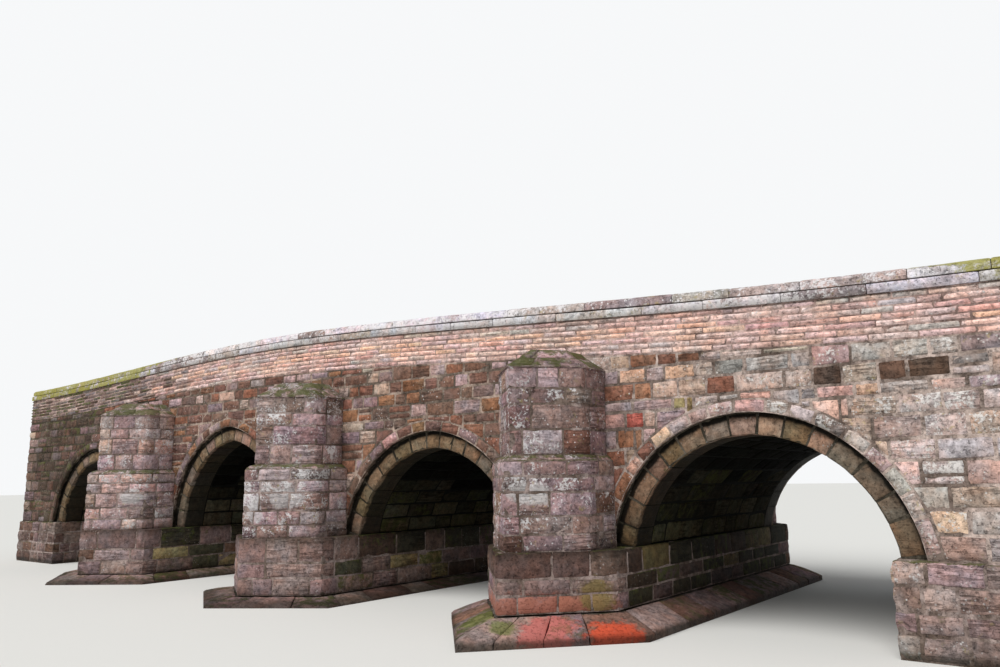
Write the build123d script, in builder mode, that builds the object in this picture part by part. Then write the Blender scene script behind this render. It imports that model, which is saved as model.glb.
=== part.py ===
from build123d import *
import os
from math import acos, asin, cos, hypot, pi, sin, sqrt

# Stone arch bridge of four round-headed spans with pointed cutwaters on both sides.
# Millimetres. X runs along the bridge, Y across it with the front at -Y, Z up from the river bed line.

# Plan
span_widths = (3520, 3390, 3500, 3370)
pier_widths = (2190, 2280, 2000)
left_abutment_length = 2050
right_abutment_length = 2700
bridge_width = 5800
wall_thickness = 450
end_wall_thickness = 450

# Arches, measured from the springing
arch_rises = (1570, 1850, 1490, 1465)
arch_point_offsets = (0, 190, 50, 0)
springing_height = 1050
ring_thickness = 280
ring_depth = 500
ring_recess = 120

# Road and parapet profile: heights of the coping bed over the springing
bed_height_left = 3330
bed_height_crown = 3620
bed_height_right = 2980
crown_position = 10300
parapet_height = 560
road_below_bed = 700
deck_thickness = 150

# Coping, in two tiers
coping_overhang = 40
coping_tier_height = 125
coping_setback = 30
coping_height = 270
coping_bevel = 55

# Piers and aprons
pier_ledge = 70
pier_shoulders = (780, 780, 500)
pier_noses = (1560, 1550, 1690)
pier_top_chamfer = 45
apron_margin = 540
apron_edge_heights = (50, 40, 100)
apron_heights = (150, 120, 300)
apron_seat_margin = 20

# Cutwaters above the springing
cutwater_ring_lap = 80
cutwater_shoulder = 700
cutwater_nose = 1500
lower_stage_height = 1180
stage_slope_height = 80
upper_stage_setbacks = (150, 150, 100)
cutwater_height = 2450
cap_height = 300
cap_overhang = 30
cap_slope = 55
cap_trim_reach = 600

# Worked out from the values above
bridge_length = left_abutment_length + sum(span_widths) + sum(pier_widths) + right_abutment_length
half_length = bridge_length / 2
half_width = bridge_width / 2
inner_half_width = half_width - wall_thickness
ring_face = half_width - ring_recess
region_height = 2 * bed_height_crown
deck_bottom_drop = road_below_bed + deck_thickness

# Left springing of each arch, from the left end on
springings = []
cursor = -half_length + left_abutment_length
for index, width in enumerate(span_widths):
    springings.append(cursor)
    cursor += width
    if index < len(pier_widths):
        cursor += pier_widths[index]
arch_centres = [start + width / 2 for start, width in zip(springings, span_widths)]
pier_centres = [
    start + width + pier / 2 for start, width, pier in zip(springings, span_widths, pier_widths)
]
bay_joints = [-half_length] + pier_centres + [half_length]


def bed_curve(drop):
    """The two long S-curves of the coping bed, lowered by a distance."""
    crown_x = -half_length + crown_position
    left = (-half_length, springing_height + bed_height_left - drop)
    crown = (crown_x, springing_height + bed_height_crown - drop)
    right = (half_length, springing_height + bed_height_right - drop)
    curves = []
    for start, end in ((left, crown), (crown, right)):
        third = (end[0] - start[0]) / 3
        curves.append(Bezier(start, (start[0] + third, start[1]), (end[0] - third, end[1]), end))
    return curves


def profile_band(lower_drop, upper_drop):
    """Region between two lines parallel to the coping bed, over the whole length."""
    with BuildSketch() as band:
        with BuildLine():
            upper = bed_curve(upper_drop)
            lower = bed_curve(lower_drop)
            Line(lower[0] @ 0, upper[0] @ 0)
            Line(lower[1] @ 1, upper[1] @ 1)
        make_face()
    return band.sketch


def wall_region(upper_drop):
    """Region from the springing level up to a line parallel to the coping bed."""
    with BuildSketch() as region:
        with BuildLine():
            upper = bed_curve(upper_drop)
            Polyline(
                upper[0] @ 0,
                (-half_length, springing_height),
                (half_length, springing_height),
                upper[1] @ 1,
            )
        make_face()
    return region.sketch


def arch_region(index, growth):
    """Opening of one arch above its springing, grown outwards by a thickness."""
    half_span = span_widths[index] / 2
    rise = arch_rises[index]
    offset = arch_point_offsets[index]
    depth = (half_span**2 + 2 * half_span * offset - rise**2) / (2 * rise)
    radius = hypot(half_span + offset, depth) + growth
    start_angle = pi - asin(depth / radius)
    crown_angle = acos(-offset / radius)
    middle_angle = (start_angle + crown_angle) / 2
    centre_x = arch_centres[index]
    foot = sqrt(radius**2 - depth**2) - offset
    crown = (centre_x, springing_height + sqrt(radius**2 - offset**2) - depth)
    haunch_reach = -offset - radius * cos(middle_angle)
    haunch_height = springing_height - depth + radius * sin(middle_angle)
    with BuildSketch() as region:
        with BuildLine():
            for side in (-1, 1):
                ThreePointArc(
                    (centre_x + side * foot, springing_height),
                    (centre_x + side * haunch_reach, haunch_height),
                    crown,
                )
            Line((centre_x - foot, springing_height), (centre_x + foot, springing_height))
        make_face()
    return region.sketch


def grown_plan(reach, shoulder, nose, growth):
    """Half width, shoulder and nose of a pointed plan whose sides all move out by a growth."""
    flank_slope = (nose - shoulder) / reach
    new_nose = nose + growth * hypot(1, flank_slope)
    new_reach = reach + growth
    return new_reach, new_nose - new_reach * flank_slope, new_nose


def pier_plan(index, growth):
    """Six-sided plan of a pier with a pointed end on both sides."""
    reach = pier_widths[index] / 2 + pier_ledge
    reach, shoulder, nose = grown_plan(reach, pier_shoulders[index], pier_noses[index], growth)
    centre = pier_centres[index]
    with BuildSketch() as plan:
        with BuildLine():
            Polyline(
                (centre, -half_width - nose),
                (centre + reach, -half_width - shoulder),
                (centre + reach, half_width + shoulder),
                (centre, half_width + nose),
                (centre - reach, half_width + shoulder),
                (centre - reach, -half_width - shoulder),
                close=True,
            )
        make_face()
    return plan.sketch


def cutwater_plan(index, growth, side, inner_reach=0):
    """Pointed plan of a cutwater against one face of the bridge, side -1 for the front."""
    reach = pier_widths[index] / 2 - ring_thickness + cutwater_ring_lap
    reach, shoulder, nose = grown_plan(reach, cutwater_shoulder, cutwater_nose, growth)
    centre = pier_centres[index]
    with BuildSketch() as plan:
        with BuildLine():
            Polyline(
                (centre + side * reach, side * (half_width - inner_reach)),
                (centre + side * reach, side * (half_width + shoulder)),
                (centre, side * (half_width + nose)),
                (centre - side * reach, side * (half_width + shoulder)),
                (centre - side * reach, side * (half_width - inner_reach)),
                close=True,
            )
        make_face()
    return plan.sketch


def save(piece, name):
    """Label a finished piece and write it."""
    piece.part.label = name
    export_step(piece.part, f"parts/{name}.step")


os.makedirs("parts", exist_ok=True)
sides = {"front": -1, "back": 1}

# Aprons, the low sloping footings at the water line
for index, edge_height in enumerate(apron_edge_heights):
    with BuildPart() as apron:
        with BuildSketch():
            add(pier_plan(index, apron_margin))
        extrude(amount=edge_height)
        with BuildSketch(Plane.XY.offset(edge_height)):
            add(pier_plan(index, apron_margin))
        with BuildSketch(Plane.XY.offset(apron_heights[index])):
            add(pier_plan(index, apron_seat_margin))
        loft()
    save(apron, f"apron_{index + 1}")

# Piers, from the aprons to the springing
for index, apron_height in enumerate(apron_heights):
    with BuildPart() as pier:
        with BuildSketch(Plane.XY.offset(apron_height)):
            add(pier_plan(index, 0))
        extrude(amount=springing_height - apron_height)
        chamfer(pier.faces().sort_by(Axis.Z)[-1].edges(), length=pier_top_chamfer)
    save(pier, f"pier_{index + 1}")

# Cutwaters in two stages under a sloping cap, against the faces of the bridge
for index, setback in enumerate(upper_stage_setbacks):
    for side_name, side in sides.items():
        slope_base = springing_height + lower_stage_height
        upper_base = slope_base + stage_slope_height
        cap_base = springing_height + cutwater_height
        with BuildPart() as cutwater:
            with BuildSketch(Plane.XY.offset(springing_height)):
                add(cutwater_plan(index, 0, side))
            extrude(amount=lower_stage_height)
            with BuildSketch(Plane.XY.offset(slope_base)):
                add(cutwater_plan(index, 0, side))
            with BuildSketch(Plane.XY.offset(upper_base)):
                add(cutwater_plan(index, -setback, side))
            loft()
            with BuildSketch(Plane.XY.offset(upper_base)):
                add(cutwater_plan(index, -setback, side))
            extrude(amount=cap_base - upper_base)
            with BuildSketch(Plane.XY.offset(cap_base)):
                add(cutwater_plan(index, cap_overhang - setback, side, inner_reach=cap_trim_reach))
            extrude(amount=cap_height, taper=cap_slope)
            outside = Keep.BOTTOM if side > 0 else Keep.TOP
            split(bisect_by=Plane.XZ.offset(-side * half_width), keep=outside)
        save(cutwater, f"cutwater_{side_name}_{index + 1}")

# Abutments, each with an end wall that closes the fill under the road
for name, end, start, length in (
    ("abutment_left", -1, -half_length, left_abutment_length),
    ("abutment_right", 1, half_length - right_abutment_length, right_abutment_length),
):
    with BuildPart() as abutment:
        outer_x = end * half_length
        inner_x = outer_x - end * (length + pier_ledge)
        with BuildSketch():
            with Locations(((outer_x + inner_x) / 2, 0)):
                Rectangle(length + pier_ledge, bridge_width + 2 * pier_ledge)
        extrude(amount=springing_height)
        top_edges = abutment.faces().sort_by(Axis.Z)[-1].edges()
        chamfer(top_edges.sort_by(Axis.X, reverse=end > 0)[1:], length=pier_top_chamfer)
        with BuildSketch(Plane.XZ.offset(-inner_half_width)):
            add(wall_region(deck_bottom_drop))
            with Locations((outer_x - end * end_wall_thickness / 2, springing_height)):
                Rectangle(end_wall_thickness, region_height, mode=Mode.INTERSECT)
        extrude(amount=2 * inner_half_width)
    save(abutment, name)

# Vaults, with the recessed ring of voussoirs on each face
for index in range(len(span_widths)):
    for name, near_face, depth in (
        (f"vault_{index + 1}", ring_face - ring_depth, 2 * (ring_face - ring_depth)),
        (f"arch_ring_front_{index + 1}", ring_face, ring_depth),
        (f"arch_ring_back_{index + 1}", ring_depth - ring_face, ring_depth),
    ):
        with BuildPart() as ring:
            with BuildSketch(Plane.XZ.offset(near_face - depth)):
                add(arch_region(index, ring_thickness))
                add(arch_region(index, 0), mode=Mode.SUBTRACT)
            extrude(amount=depth)
        save(ring, name)

# Spandrel walls, one for each bay on each side, cut to the outside of the rings
for index in range(len(span_widths)):
    left_joint = bay_joints[index]
    right_joint = bay_joints[index + 1]
    for side_name, side in sides.items():
        plane_offset = inner_half_width if side < 0 else -half_width
        with BuildPart() as spandrel:
            with BuildSketch(Plane.XZ.offset(plane_offset)):
                add(wall_region(parapet_height))
                with Locations(((left_joint + right_joint) / 2, springing_height)):
                    Rectangle(right_joint - left_joint, region_height, mode=Mode.INTERSECT)
                add(arch_region(index, ring_thickness), mode=Mode.SUBTRACT)
            extrude(amount=wall_thickness)
        save(spandrel, f"spandrel_{side_name}_{index + 1}")

# Rubble fill over the vaults
with BuildPart() as fill:
    with BuildSketch(Plane.XZ.offset(-inner_half_width)):
        add(wall_region(deck_bottom_drop))
        with Locations((0, springing_height)):
            fill_length = bridge_length - 2 * end_wall_thickness
            Rectangle(fill_length, region_height, mode=Mode.INTERSECT)
        for index in range(len(span_widths)):
            add(arch_region(index, ring_thickness), mode=Mode.SUBTRACT)
    extrude(amount=2 * inner_half_width)
save(fill, "rubble_fill")

# Road deck between the walls
with BuildPart() as deck:
    with BuildSketch(Plane.XZ.offset(-inner_half_width)):
        add(profile_band(deck_bottom_drop, road_below_bed))
    extrude(amount=2 * inner_half_width)
save(deck, "road_deck")

# Parapets on the spandrel walls, and their coping in two tiers
for side_name, side in sides.items():
    plane_offset = inner_half_width if side < 0 else -half_width
    with BuildPart() as parapet:
        with BuildSketch(Plane.XZ.offset(plane_offset)):
            add(profile_band(parapet_height, 0))
        extrude(amount=wall_thickness)
    save(parapet, f"parapet_{side_name}")

    coping_y = side * (half_width - wall_thickness / 2)
    with BuildPart() as coping:
        edge = wall_thickness / 2 + coping_overhang
        upper_edge = edge - coping_setback
        base = springing_height + bed_height_left
        end_reach = half_length + coping_overhang
        half_profile = (
            (edge, 0),
            (edge, coping_tier_height),
            (upper_edge, coping_tier_height),
            (upper_edge, coping_height - coping_bevel),
            (upper_edge - coping_bevel, coping_height),
        )
        outer_points = [(coping_y + reach, base + rise) for reach, rise in half_profile]
        inner_points = [(coping_y - reach, base + rise) for reach, rise in reversed(half_profile)]
        with BuildLine(Plane.XZ.offset(-coping_y)) as path:
            curves = bed_curve(0)
            Line((-end_reach, base), curves[0] @ 0)
            Line(curves[1] @ 1, (end_reach, springing_height + bed_height_right))
        with BuildSketch(Plane.YZ.offset(-end_reach)):
            with BuildLine():
                Polyline(*outer_points, *inner_points, close=True)
            make_face()
        sweep(path=path.wires()[0])
    save(coping, f"coping_{side_name}")
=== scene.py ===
"""Laid stones, finishes, floor, light and camera of a four-arched sandstone road bridge."""

import logging
import math
import random
from collections.abc import Callable, Iterable, Iterator, Sequence
from contextlib import contextmanager
from dataclasses import dataclass, field, replace
from enum import Enum
from itertools import pairwise

import bpy
import numpy as np
from mathutils import Matrix


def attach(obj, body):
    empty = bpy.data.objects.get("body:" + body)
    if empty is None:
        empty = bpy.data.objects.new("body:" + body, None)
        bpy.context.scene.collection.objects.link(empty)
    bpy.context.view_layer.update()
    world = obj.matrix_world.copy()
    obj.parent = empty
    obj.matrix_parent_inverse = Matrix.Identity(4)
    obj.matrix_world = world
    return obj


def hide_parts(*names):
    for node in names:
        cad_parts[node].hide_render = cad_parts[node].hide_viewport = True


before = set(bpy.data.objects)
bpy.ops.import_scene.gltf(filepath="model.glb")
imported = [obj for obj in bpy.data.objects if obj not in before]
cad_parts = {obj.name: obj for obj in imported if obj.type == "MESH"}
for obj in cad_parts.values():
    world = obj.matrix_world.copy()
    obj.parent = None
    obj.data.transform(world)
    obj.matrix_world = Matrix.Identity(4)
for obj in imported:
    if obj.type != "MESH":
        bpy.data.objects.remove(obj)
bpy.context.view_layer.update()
LOG = logging.getLogger("stone_bridge")

Floats = tuple[float, ...]
Point = tuple[float, float]
Colour = tuple[float, float, float]
Array = np.ndarray
Material = bpy.types.Material
NodeTree = bpy.types.NodeTree
Object = bpy.types.Object
Socket = bpy.types.NodeSocket


class Side(Enum):
    """The two faces of the bridge, by the sign of their Y."""

    FRONT = -1
    BACK = 1

    @property
    def word(self) -> str:
        """Name of the side as the nodes have it."""
        return self.name.lower()


class Cut(Enum):
    """How a stone was dressed."""

    SQUARED = "squared"
    ROCK_FACED = "rock_faced"
    WORN = "worn"


class Tone(Enum):
    """Sandstone colours of the bridge, and painted shade for the vaults."""

    BUFF = (0.50, 0.38, 0.32)
    PALE = (0.55, 0.46, 0.43)
    SILVER = (0.47, 0.41, 0.39)
    PINK = (0.62, 0.43, 0.39)
    MAUVE = (0.47, 0.35, 0.35)
    ROSE = (0.62, 0.39, 0.36)
    BLUSH = (0.76, 0.55, 0.50)
    PEACH = (0.76, 0.50, 0.39)
    ASH = (0.70, 0.66, 0.69)
    SAND = (0.64, 0.44, 0.33)
    STRAW = (0.46, 0.33, 0.21)
    ORANGE = (0.30, 0.155, 0.09)
    RUST = (0.26, 0.125, 0.085)
    RUSSET = (0.20, 0.115, 0.09)
    RED = (0.50, 0.13, 0.10)
    HEATHER = (0.40, 0.30, 0.305)
    PURPLE = (0.27, 0.19, 0.19)
    TAUPE = (0.33, 0.235, 0.215)
    BROWN = (0.18, 0.12, 0.10)
    UMBER = (0.13, 0.088, 0.065)
    GREY = (0.30, 0.25, 0.245)
    OCHRE = (0.38, 0.30, 0.15)
    STAINED = (0.10, 0.09, 0.06)
    # Painted shade of the vaults: wet stone darkened almost to black, darkest at the crowns.
    WET = (0.035, 0.032, 0.023)
    SOOT = (0.010, 0.010, 0.008)


# Sizes


@dataclass(frozen=True)
class ArchCurve:
    """Underside of one arch: two arcs that meet at the crown.

    Attributes:
        centre: X of the crown.
        base: Height of the springing.
        offset: How far each arc's centre lies beyond the middle.
        depth: How far the centres lie under the springing.
        radius: Radius of both arcs.
    """

    centre: float
    base: float
    offset: float
    depth: float
    radius: float

    @property
    def start(self) -> float:
        """Angle of the left springing, seen from its arc's centre."""
        return math.pi - math.asin(self.depth / self.radius)

    @property
    def run(self) -> float:
        """Length of one arc."""
        return self.radius * (self.start - math.acos(-self.offset / self.radius))

    def at(self, s: Array, growth: Array | float) -> tuple[Array, Array]:
        """Find points on or outside the underside.

        Args:
            s: Distances along the underside from the left springing.
            growth: Distances outwards from it.

        Returns:
            X and Z of the points.
        """
        left = s <= self.run
        angle = self.start - np.where(left, s, 2 * self.run - s) / self.radius
        x = self.offset + (self.radius + growth) * np.cos(angle)
        z = self.base - self.depth + (self.radius + growth) * np.sin(angle)
        return self.centre + np.where(left, x, -x), z

    def foot(self, z: float, growth: float) -> float:
        """Half width at a height of the underside grown outwards, 0 over its crown."""
        high = z - self.base + self.depth
        reach = self.radius + growth
        return max(0.0, math.sqrt(max(0.0, reach**2 - high**2)) - self.offset)

    def roof(self, x: float, growth: float) -> float:
        """Height over an X of the underside grown outwards."""
        reach = min(abs(x - self.centre) + self.offset, self.radius + growth)
        return self.base - self.depth + math.sqrt((self.radius + growth) ** 2 - reach**2)


@dataclass(frozen=True)
class BridgeShape:
    """Sizes of the solids in metres."""

    half_length: float = 12.5
    half_width: float = 2.9
    wall: float = 0.45
    springing: float = 1.05
    left_abutment: float = 2.05
    right_abutment: float = 2.70
    spans: Floats = (3.52, 3.39, 3.50, 3.37)
    piers: Floats = (2.19, 2.28, 2.00)
    rises: Floats = (1.57, 1.85, 1.49, 1.465)
    offsets: Floats = (0.0, 0.19, 0.05, 0.0)
    ring: float = 0.28
    ring_depth: float = 0.50
    ring_face: float = 2.78
    bed_left: float = 3.33
    bed_crown: float = 3.62
    bed_right: float = 2.98
    crown_x: float = -2.2
    parapet: float = 0.56
    road_drop: float = 0.70
    coping_over: float = 0.04
    coping_tier: float = 0.125
    coping_setback: float = 0.03
    coping_height: float = 0.27
    coping_bevel: float = 0.055
    ledge: float = 0.07
    pier_shoulders: Floats = (0.78, 0.78, 0.50)
    pier_noses: Floats = (1.56, 1.55, 1.69)
    apron_margin: float = 0.54
    apron_edges: Floats = (0.05, 0.04, 0.10)
    apron_tops: Floats = (0.15, 0.12, 0.30)
    lap: float = 0.08
    shoulder: float = 0.70
    nose: float = 1.50
    stage: float = 2.23
    stage_top: float = 2.31
    setbacks: Floats = (0.15, 0.15, 0.10)
    cap: float = 3.50
    cap_top: float = 3.80
    cap_over: float = 0.03
    cap_inset: float = 0.428

    def starts(self) -> list[float]:
        """X of each arch's left springing."""
        found = [-self.half_length + self.left_abutment]
        for span, pier in zip(self.spans, self.piers):
            found.append(found[-1] + span + pier)
        return found

    def pier_centres(self) -> list[float]:
        """X of the middle of each pier."""
        return [s + a + p / 2 for s, a, p in zip(self.starts(), self.spans, self.piers)]

    def arch(self, index: int) -> ArchCurve:
        """Underside of an arch.

        Args:
            index: Which arch, from 0 at the left.

        Returns:
            Its curve.
        """
        half, rise, off = self.spans[index] / 2, self.rises[index], self.offsets[index]
        depth = (half**2 + 2 * half * off - rise**2) / (2 * rise)
        centre = self.starts()[index] + half
        return ArchCurve(centre, self.springing, off, depth, math.hypot(half + off, depth))

    def bed(self, x: Array | float) -> Array:
        """Height of the coping's bed at an X.

        Args:
            x: Where along the bridge.

        Returns:
            The height there.
        """
        x = np.clip(x, -self.half_length, self.half_length)
        left = x < self.crown_x
        start = np.where(left, -self.half_length, self.crown_x)
        end = np.where(left, self.crown_x, self.half_length)
        low = np.where(left, self.bed_left, self.bed_crown)
        high = np.where(left, self.bed_crown, self.bed_right)
        t = (x - start) / (end - start)
        return self.springing + low + (high - low) * (3 * t**2 - 2 * t**3)

    @staticmethod
    def grown(reach: float, shoulder: float, nose: float, growth: float) -> tuple[float, float, float]:
        """Move all sides of a pointed plan out by a growth.

        Args:
            reach: Half width of the plan.
            shoulder: Where its flanks start, from the bridge's face.
            nose: Where its point is, from the bridge's face.
            growth: Distance that every side moves out.

        Returns:
            The new reach, shoulder and nose.
        """
        slope = (nose - shoulder) / reach
        nose += growth * math.hypot(1, slope)
        return reach + growth, nose - (reach + growth) * slope, nose

    def pier_plan(self, index: int, growth: float = 0.0) -> list[Point]:
        """Six-sided plan of a pier, counter-clockwise from its front nose.

        Args:
            index: Which pier, from 0 at the left.
            growth: How far its sides are moved out.

        Returns:
            Its corners.
        """
        reach = self.piers[index] / 2 + self.ledge
        r, s, n = self.grown(reach, self.pier_shoulders[index], self.pier_noses[index], growth)
        c, w = self.pier_centres()[index], self.half_width
        return [(c, -w - n), (c + r, -w - s), (c + r, w + s), (c, w + n), (c - r, w + s), (c - r, -w - s)]

    def cutwater_reach(self, index: int, growth: float = 0.0) -> float:
        """Half width of a cutwater."""
        return self.piers[index] / 2 - self.ring + self.lap + growth

    def cutwater_plan(self, index: int, side: Side, growth: float = 0.0) -> list[Point]:
        """Plan of a cutwater, counter-clockwise from the bridge's face and back to it.

        Args:
            index: Which pier it stands at.
            side: Face of the bridge.
            growth: How far its sides are moved out.

        Returns:
            Its corners.
        """
        r, s, n = self.grown(self.cutwater_reach(index), self.shoulder, self.nose, growth)
        c, w, k = self.pier_centres()[index], self.half_width, side.value
        near, far, tip = k * w, k * (w + s), k * (w + n)
        return [(c + k * r, near), (c + k * r, far), (c, tip), (c - k * r, far), (c - k * r, near)]


# Faces that stones are laid on


class Face:
    """A face of the bridge, in metres along it, up it and out of it."""

    turn = 1

    def place(self, u: Array, v: Array, w: Array) -> Array:
        """Find points in the bridge's frame.

        Args:
            u: Distances along the face.
            v: Distances up the face.
            w: Distances out of the face.

        Returns:
            One row of X, Y and Z for each point.
        """
        raise NotImplementedError


@dataclass
class WallFace(Face):
    """One of the two long faces: u is X and v is Z."""

    side: Side
    reach: float

    def __post_init__(self) -> None:
        """Note which way round the coordinates run."""
        self.turn = -self.side.value

    def place(self, u: Array, v: Array, w: Array) -> Array:
        """Find points in the bridge's frame."""
        return np.stack([u, self.side.value * (self.reach + w), v], -1)


@dataclass
class PlanWall(Face):
    """Upright face over a line of points in plan, with the stone on the line's left.

    Attributes:
        points: Corners of the line.
        closed: Whether the last corner joins the first.
        rise: Height of v = 0 over an X, or None for 0.
    """

    points: Sequence[Point]
    closed: bool = False
    rise: Callable[[Array], Array] | None = None

    def __post_init__(self) -> None:
        """Work out the runs, their lengths and the mitres at the corners."""
        path = np.array(list(self.points) + ([self.points[0]] if self.closed else []), float)
        step = np.diff(path, axis=0)
        self.runs = np.hypot(step[:, 0], step[:, 1])
        out = np.stack([step[:, 1], -step[:, 0]], -1) / self.runs[:, None]
        before = np.vstack([out[-1:] if self.closed else out[:1], out])
        after = np.vstack([out, out[:1] if self.closed else out[-1:]])
        self.path = path
        self.mitres = (before + after) / (1 + (before * after).sum(-1, keepdims=True))
        self.stops = np.concatenate([[0.0], np.cumsum(self.runs)])

    @property
    def length(self) -> float:
        """Length of the whole line."""
        return float(self.stops[-1])

    def corners(self) -> list[float]:
        """Places along the line where it turns."""
        inner = [float(stop) for stop in self.stops[1:-1]]
        return [0.0] + inner + [self.length + s for s in [0.0] + inner] if self.closed else inner

    def locate(self, u: Array) -> tuple[Array, Array]:
        """Find the run and the share of it at each place along the line.

        Args:
            u: Distances along the line.

        Returns:
            Numbers of the runs, and the shares.
        """
        u = np.mod(u, self.length) if self.closed else u
        run = np.clip(np.searchsorted(self.stops, u, side="right") - 1, 0, len(self.runs) - 1)
        return run, (u - self.stops[run]) / self.runs[run]

    def spot(self, run: Array, share: Array, w: Array) -> Array:
        """Find plan points from runs, shares of them and distances out."""
        a = self.path[run] + w[:, None] * self.mitres[run]
        b = self.path[run + 1] + w[:, None] * self.mitres[run + 1]
        return a + share[:, None] * (b - a)

    def plan_at(self, u: float) -> Point:
        """X and Y of a place along the line."""
        x, y = self.spot(*self.locate(np.array([u])), np.zeros(1))[0]
        return float(x), float(y)

    def place(self, u: Array, v: Array, w: Array) -> Array:
        """Find points in the bridge's frame.

        Args:
            u: Distances along the face.
            v: Distances up the face.
            w: Distances out of the face.

        Returns:
            One row of X, Y and Z for each point.
        """
        ground = self.spot(*self.locate(u), w)
        base = self.rise(ground[:, 0]) if self.rise else 0.0
        return np.column_stack([ground, v + base])


@dataclass
class SlopeBand(Face):
    """Sloping face between a lower line of points and an upper one with as many corners."""

    lower: PlanWall
    upper: PlanWall
    low: float
    high: float

    def __post_init__(self) -> None:
        """Work out the width of the slope, over the first run that has one."""
        shifts = self.upper.path - self.lower.path
        steps = np.diff(self.lower.path, axis=0)
        areas = np.abs(steps[:, 0] * shifts[:-1, 1] - steps[:, 1] * shifts[:-1, 0])
        inset = next(float(wide) for wide in areas / self.lower.runs if wide > 1e-6)
        self.slant = math.hypot(inset, self.high - self.low)
        self.level = inset / self.slant
        self.steep = (self.high - self.low) / self.slant

    def place(self, u: Array, v: Array, w: Array) -> Array:
        """Find points in the bridge's frame.

        Args:
            u: Distances along the face.
            v: Distances up the face.
            w: Distances out of the face.

        Returns:
            One row of X, Y and Z for each point.
        """
        run, share = self.lower.locate(u)
        up = v / self.slant
        a = self.lower.spot(run, share, w * self.steep)
        b = self.upper.spot(run, share, w * self.steep)
        z = self.low + (self.high - self.low) * up + w * self.level
        return np.column_stack([a + up[:, None] * (b - a), z])


@dataclass
class FootingBand(SlopeBand):
    """Sloping top of a footing whose stones go down to the ground."""

    def place(self, u: Array, v: Array, w: Array) -> Array:
        """Find points in the bridge's frame, those far under the top on the ground.

        Args:
            u: Distances along the face.
            v: Distances up the face.
            w: Distances out of the face.

        Returns:
            One row of X, Y and Z for each point.
        """
        run, share = self.lower.locate(u)
        up = v / self.slant
        still = np.zeros_like(w)
        a, b = self.lower.spot(run, share, still), self.upper.spot(run, share, still)
        top = self.low + (self.high - self.low) * up
        z = np.where(w < -0.03, 0.0, np.maximum(top + w, 0.004))
        return np.column_stack([a + up[:, None] * (b - a), z])


@dataclass
class BarrelFace(Face):
    """Underside of an arch: u is Y, v runs along the curve from the left springing."""

    arch: ArchCurve

    def place(self, u: Array, v: Array, w: Array) -> Array:
        """Find points in the bridge's frame."""
        x, z = self.arch.at(v, -w)
        return np.stack([x, u, z], -1)


@dataclass
class RingFace(WallFace):
    """Face of an arch ring: u runs along the underside, v outwards from it."""

    arch: ArchCurve

    def place(self, u: Array, v: Array, w: Array) -> Array:
        """Find points in the bridge's frame."""
        return super().place(*self.arch.at(u, v), w)


# Stones


def primitive(add: Callable[..., object], name: str, **options: object) -> Object:
    """Add a primitive with nothing else selected.

    Args:
        add: Operator that adds it.
        name: Name of the object.
        options: The operator's own options.

    Returns:
        The new object.
    """
    bpy.ops.object.select_all(action="DESELECT")
    add(**options)
    piece = bpy.context.active_object
    piece.name = name
    return piece


@contextmanager
def edit_mode(whole: bool = False) -> Iterator[None]:
    """Work on the active object in edit mode.

    Args:
        whole: Whether all of it is selected first.

    Yields:
        Nothing.
    """
    bpy.ops.object.mode_set(mode="EDIT")
    if whole:
        bpy.ops.mesh.select_all(action="SELECT")
    yield
    bpy.ops.object.mode_set(mode="OBJECT")


def face_outwards() -> None:
    """Point all faces of the shell in edit mode outwards."""
    bpy.ops.mesh.select_all(action="SELECT")
    bpy.ops.mesh.normals_make_consistent(inside=False)


def pick_all(mesh: bpy.types.Mesh, test: Callable[[Array], bool]) -> None:
    """Select in object mode the vertices that pass a test, and nothing else.

    Args:
        mesh: The mesh.
        test: Says of a place whether it passes.
    """
    for edge in mesh.edges:
        edge.select = False
    for face in mesh.polygons:
        face.select = False
    for vertex in mesh.vertices:
        vertex.select = bool(test(vertex.co))


@dataclass(frozen=True)
class StoneForm:
    """A modelled stone, one wide and one high, its front on z = 0 and its back on z = -1.

    Attributes:
        points: Its vertices.
        faces: Its faces, by vertex.
        rim: 1 on the worn edge of the front, 0 elsewhere, for each vertex.
    """

    points: Array
    faces: tuple[tuple[int, ...], ...]
    rim: Array

    @classmethod
    def of(cls, stone: Object, points: Array, rim: Array) -> "StoneForm":
        """Keep a modelled stone's shape and remove the object."""
        faces = tuple(tuple(face.vertices) for face in stone.data.polygons)
        bpy.data.objects.remove(stone)
        return cls(points, faces, rim)


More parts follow.
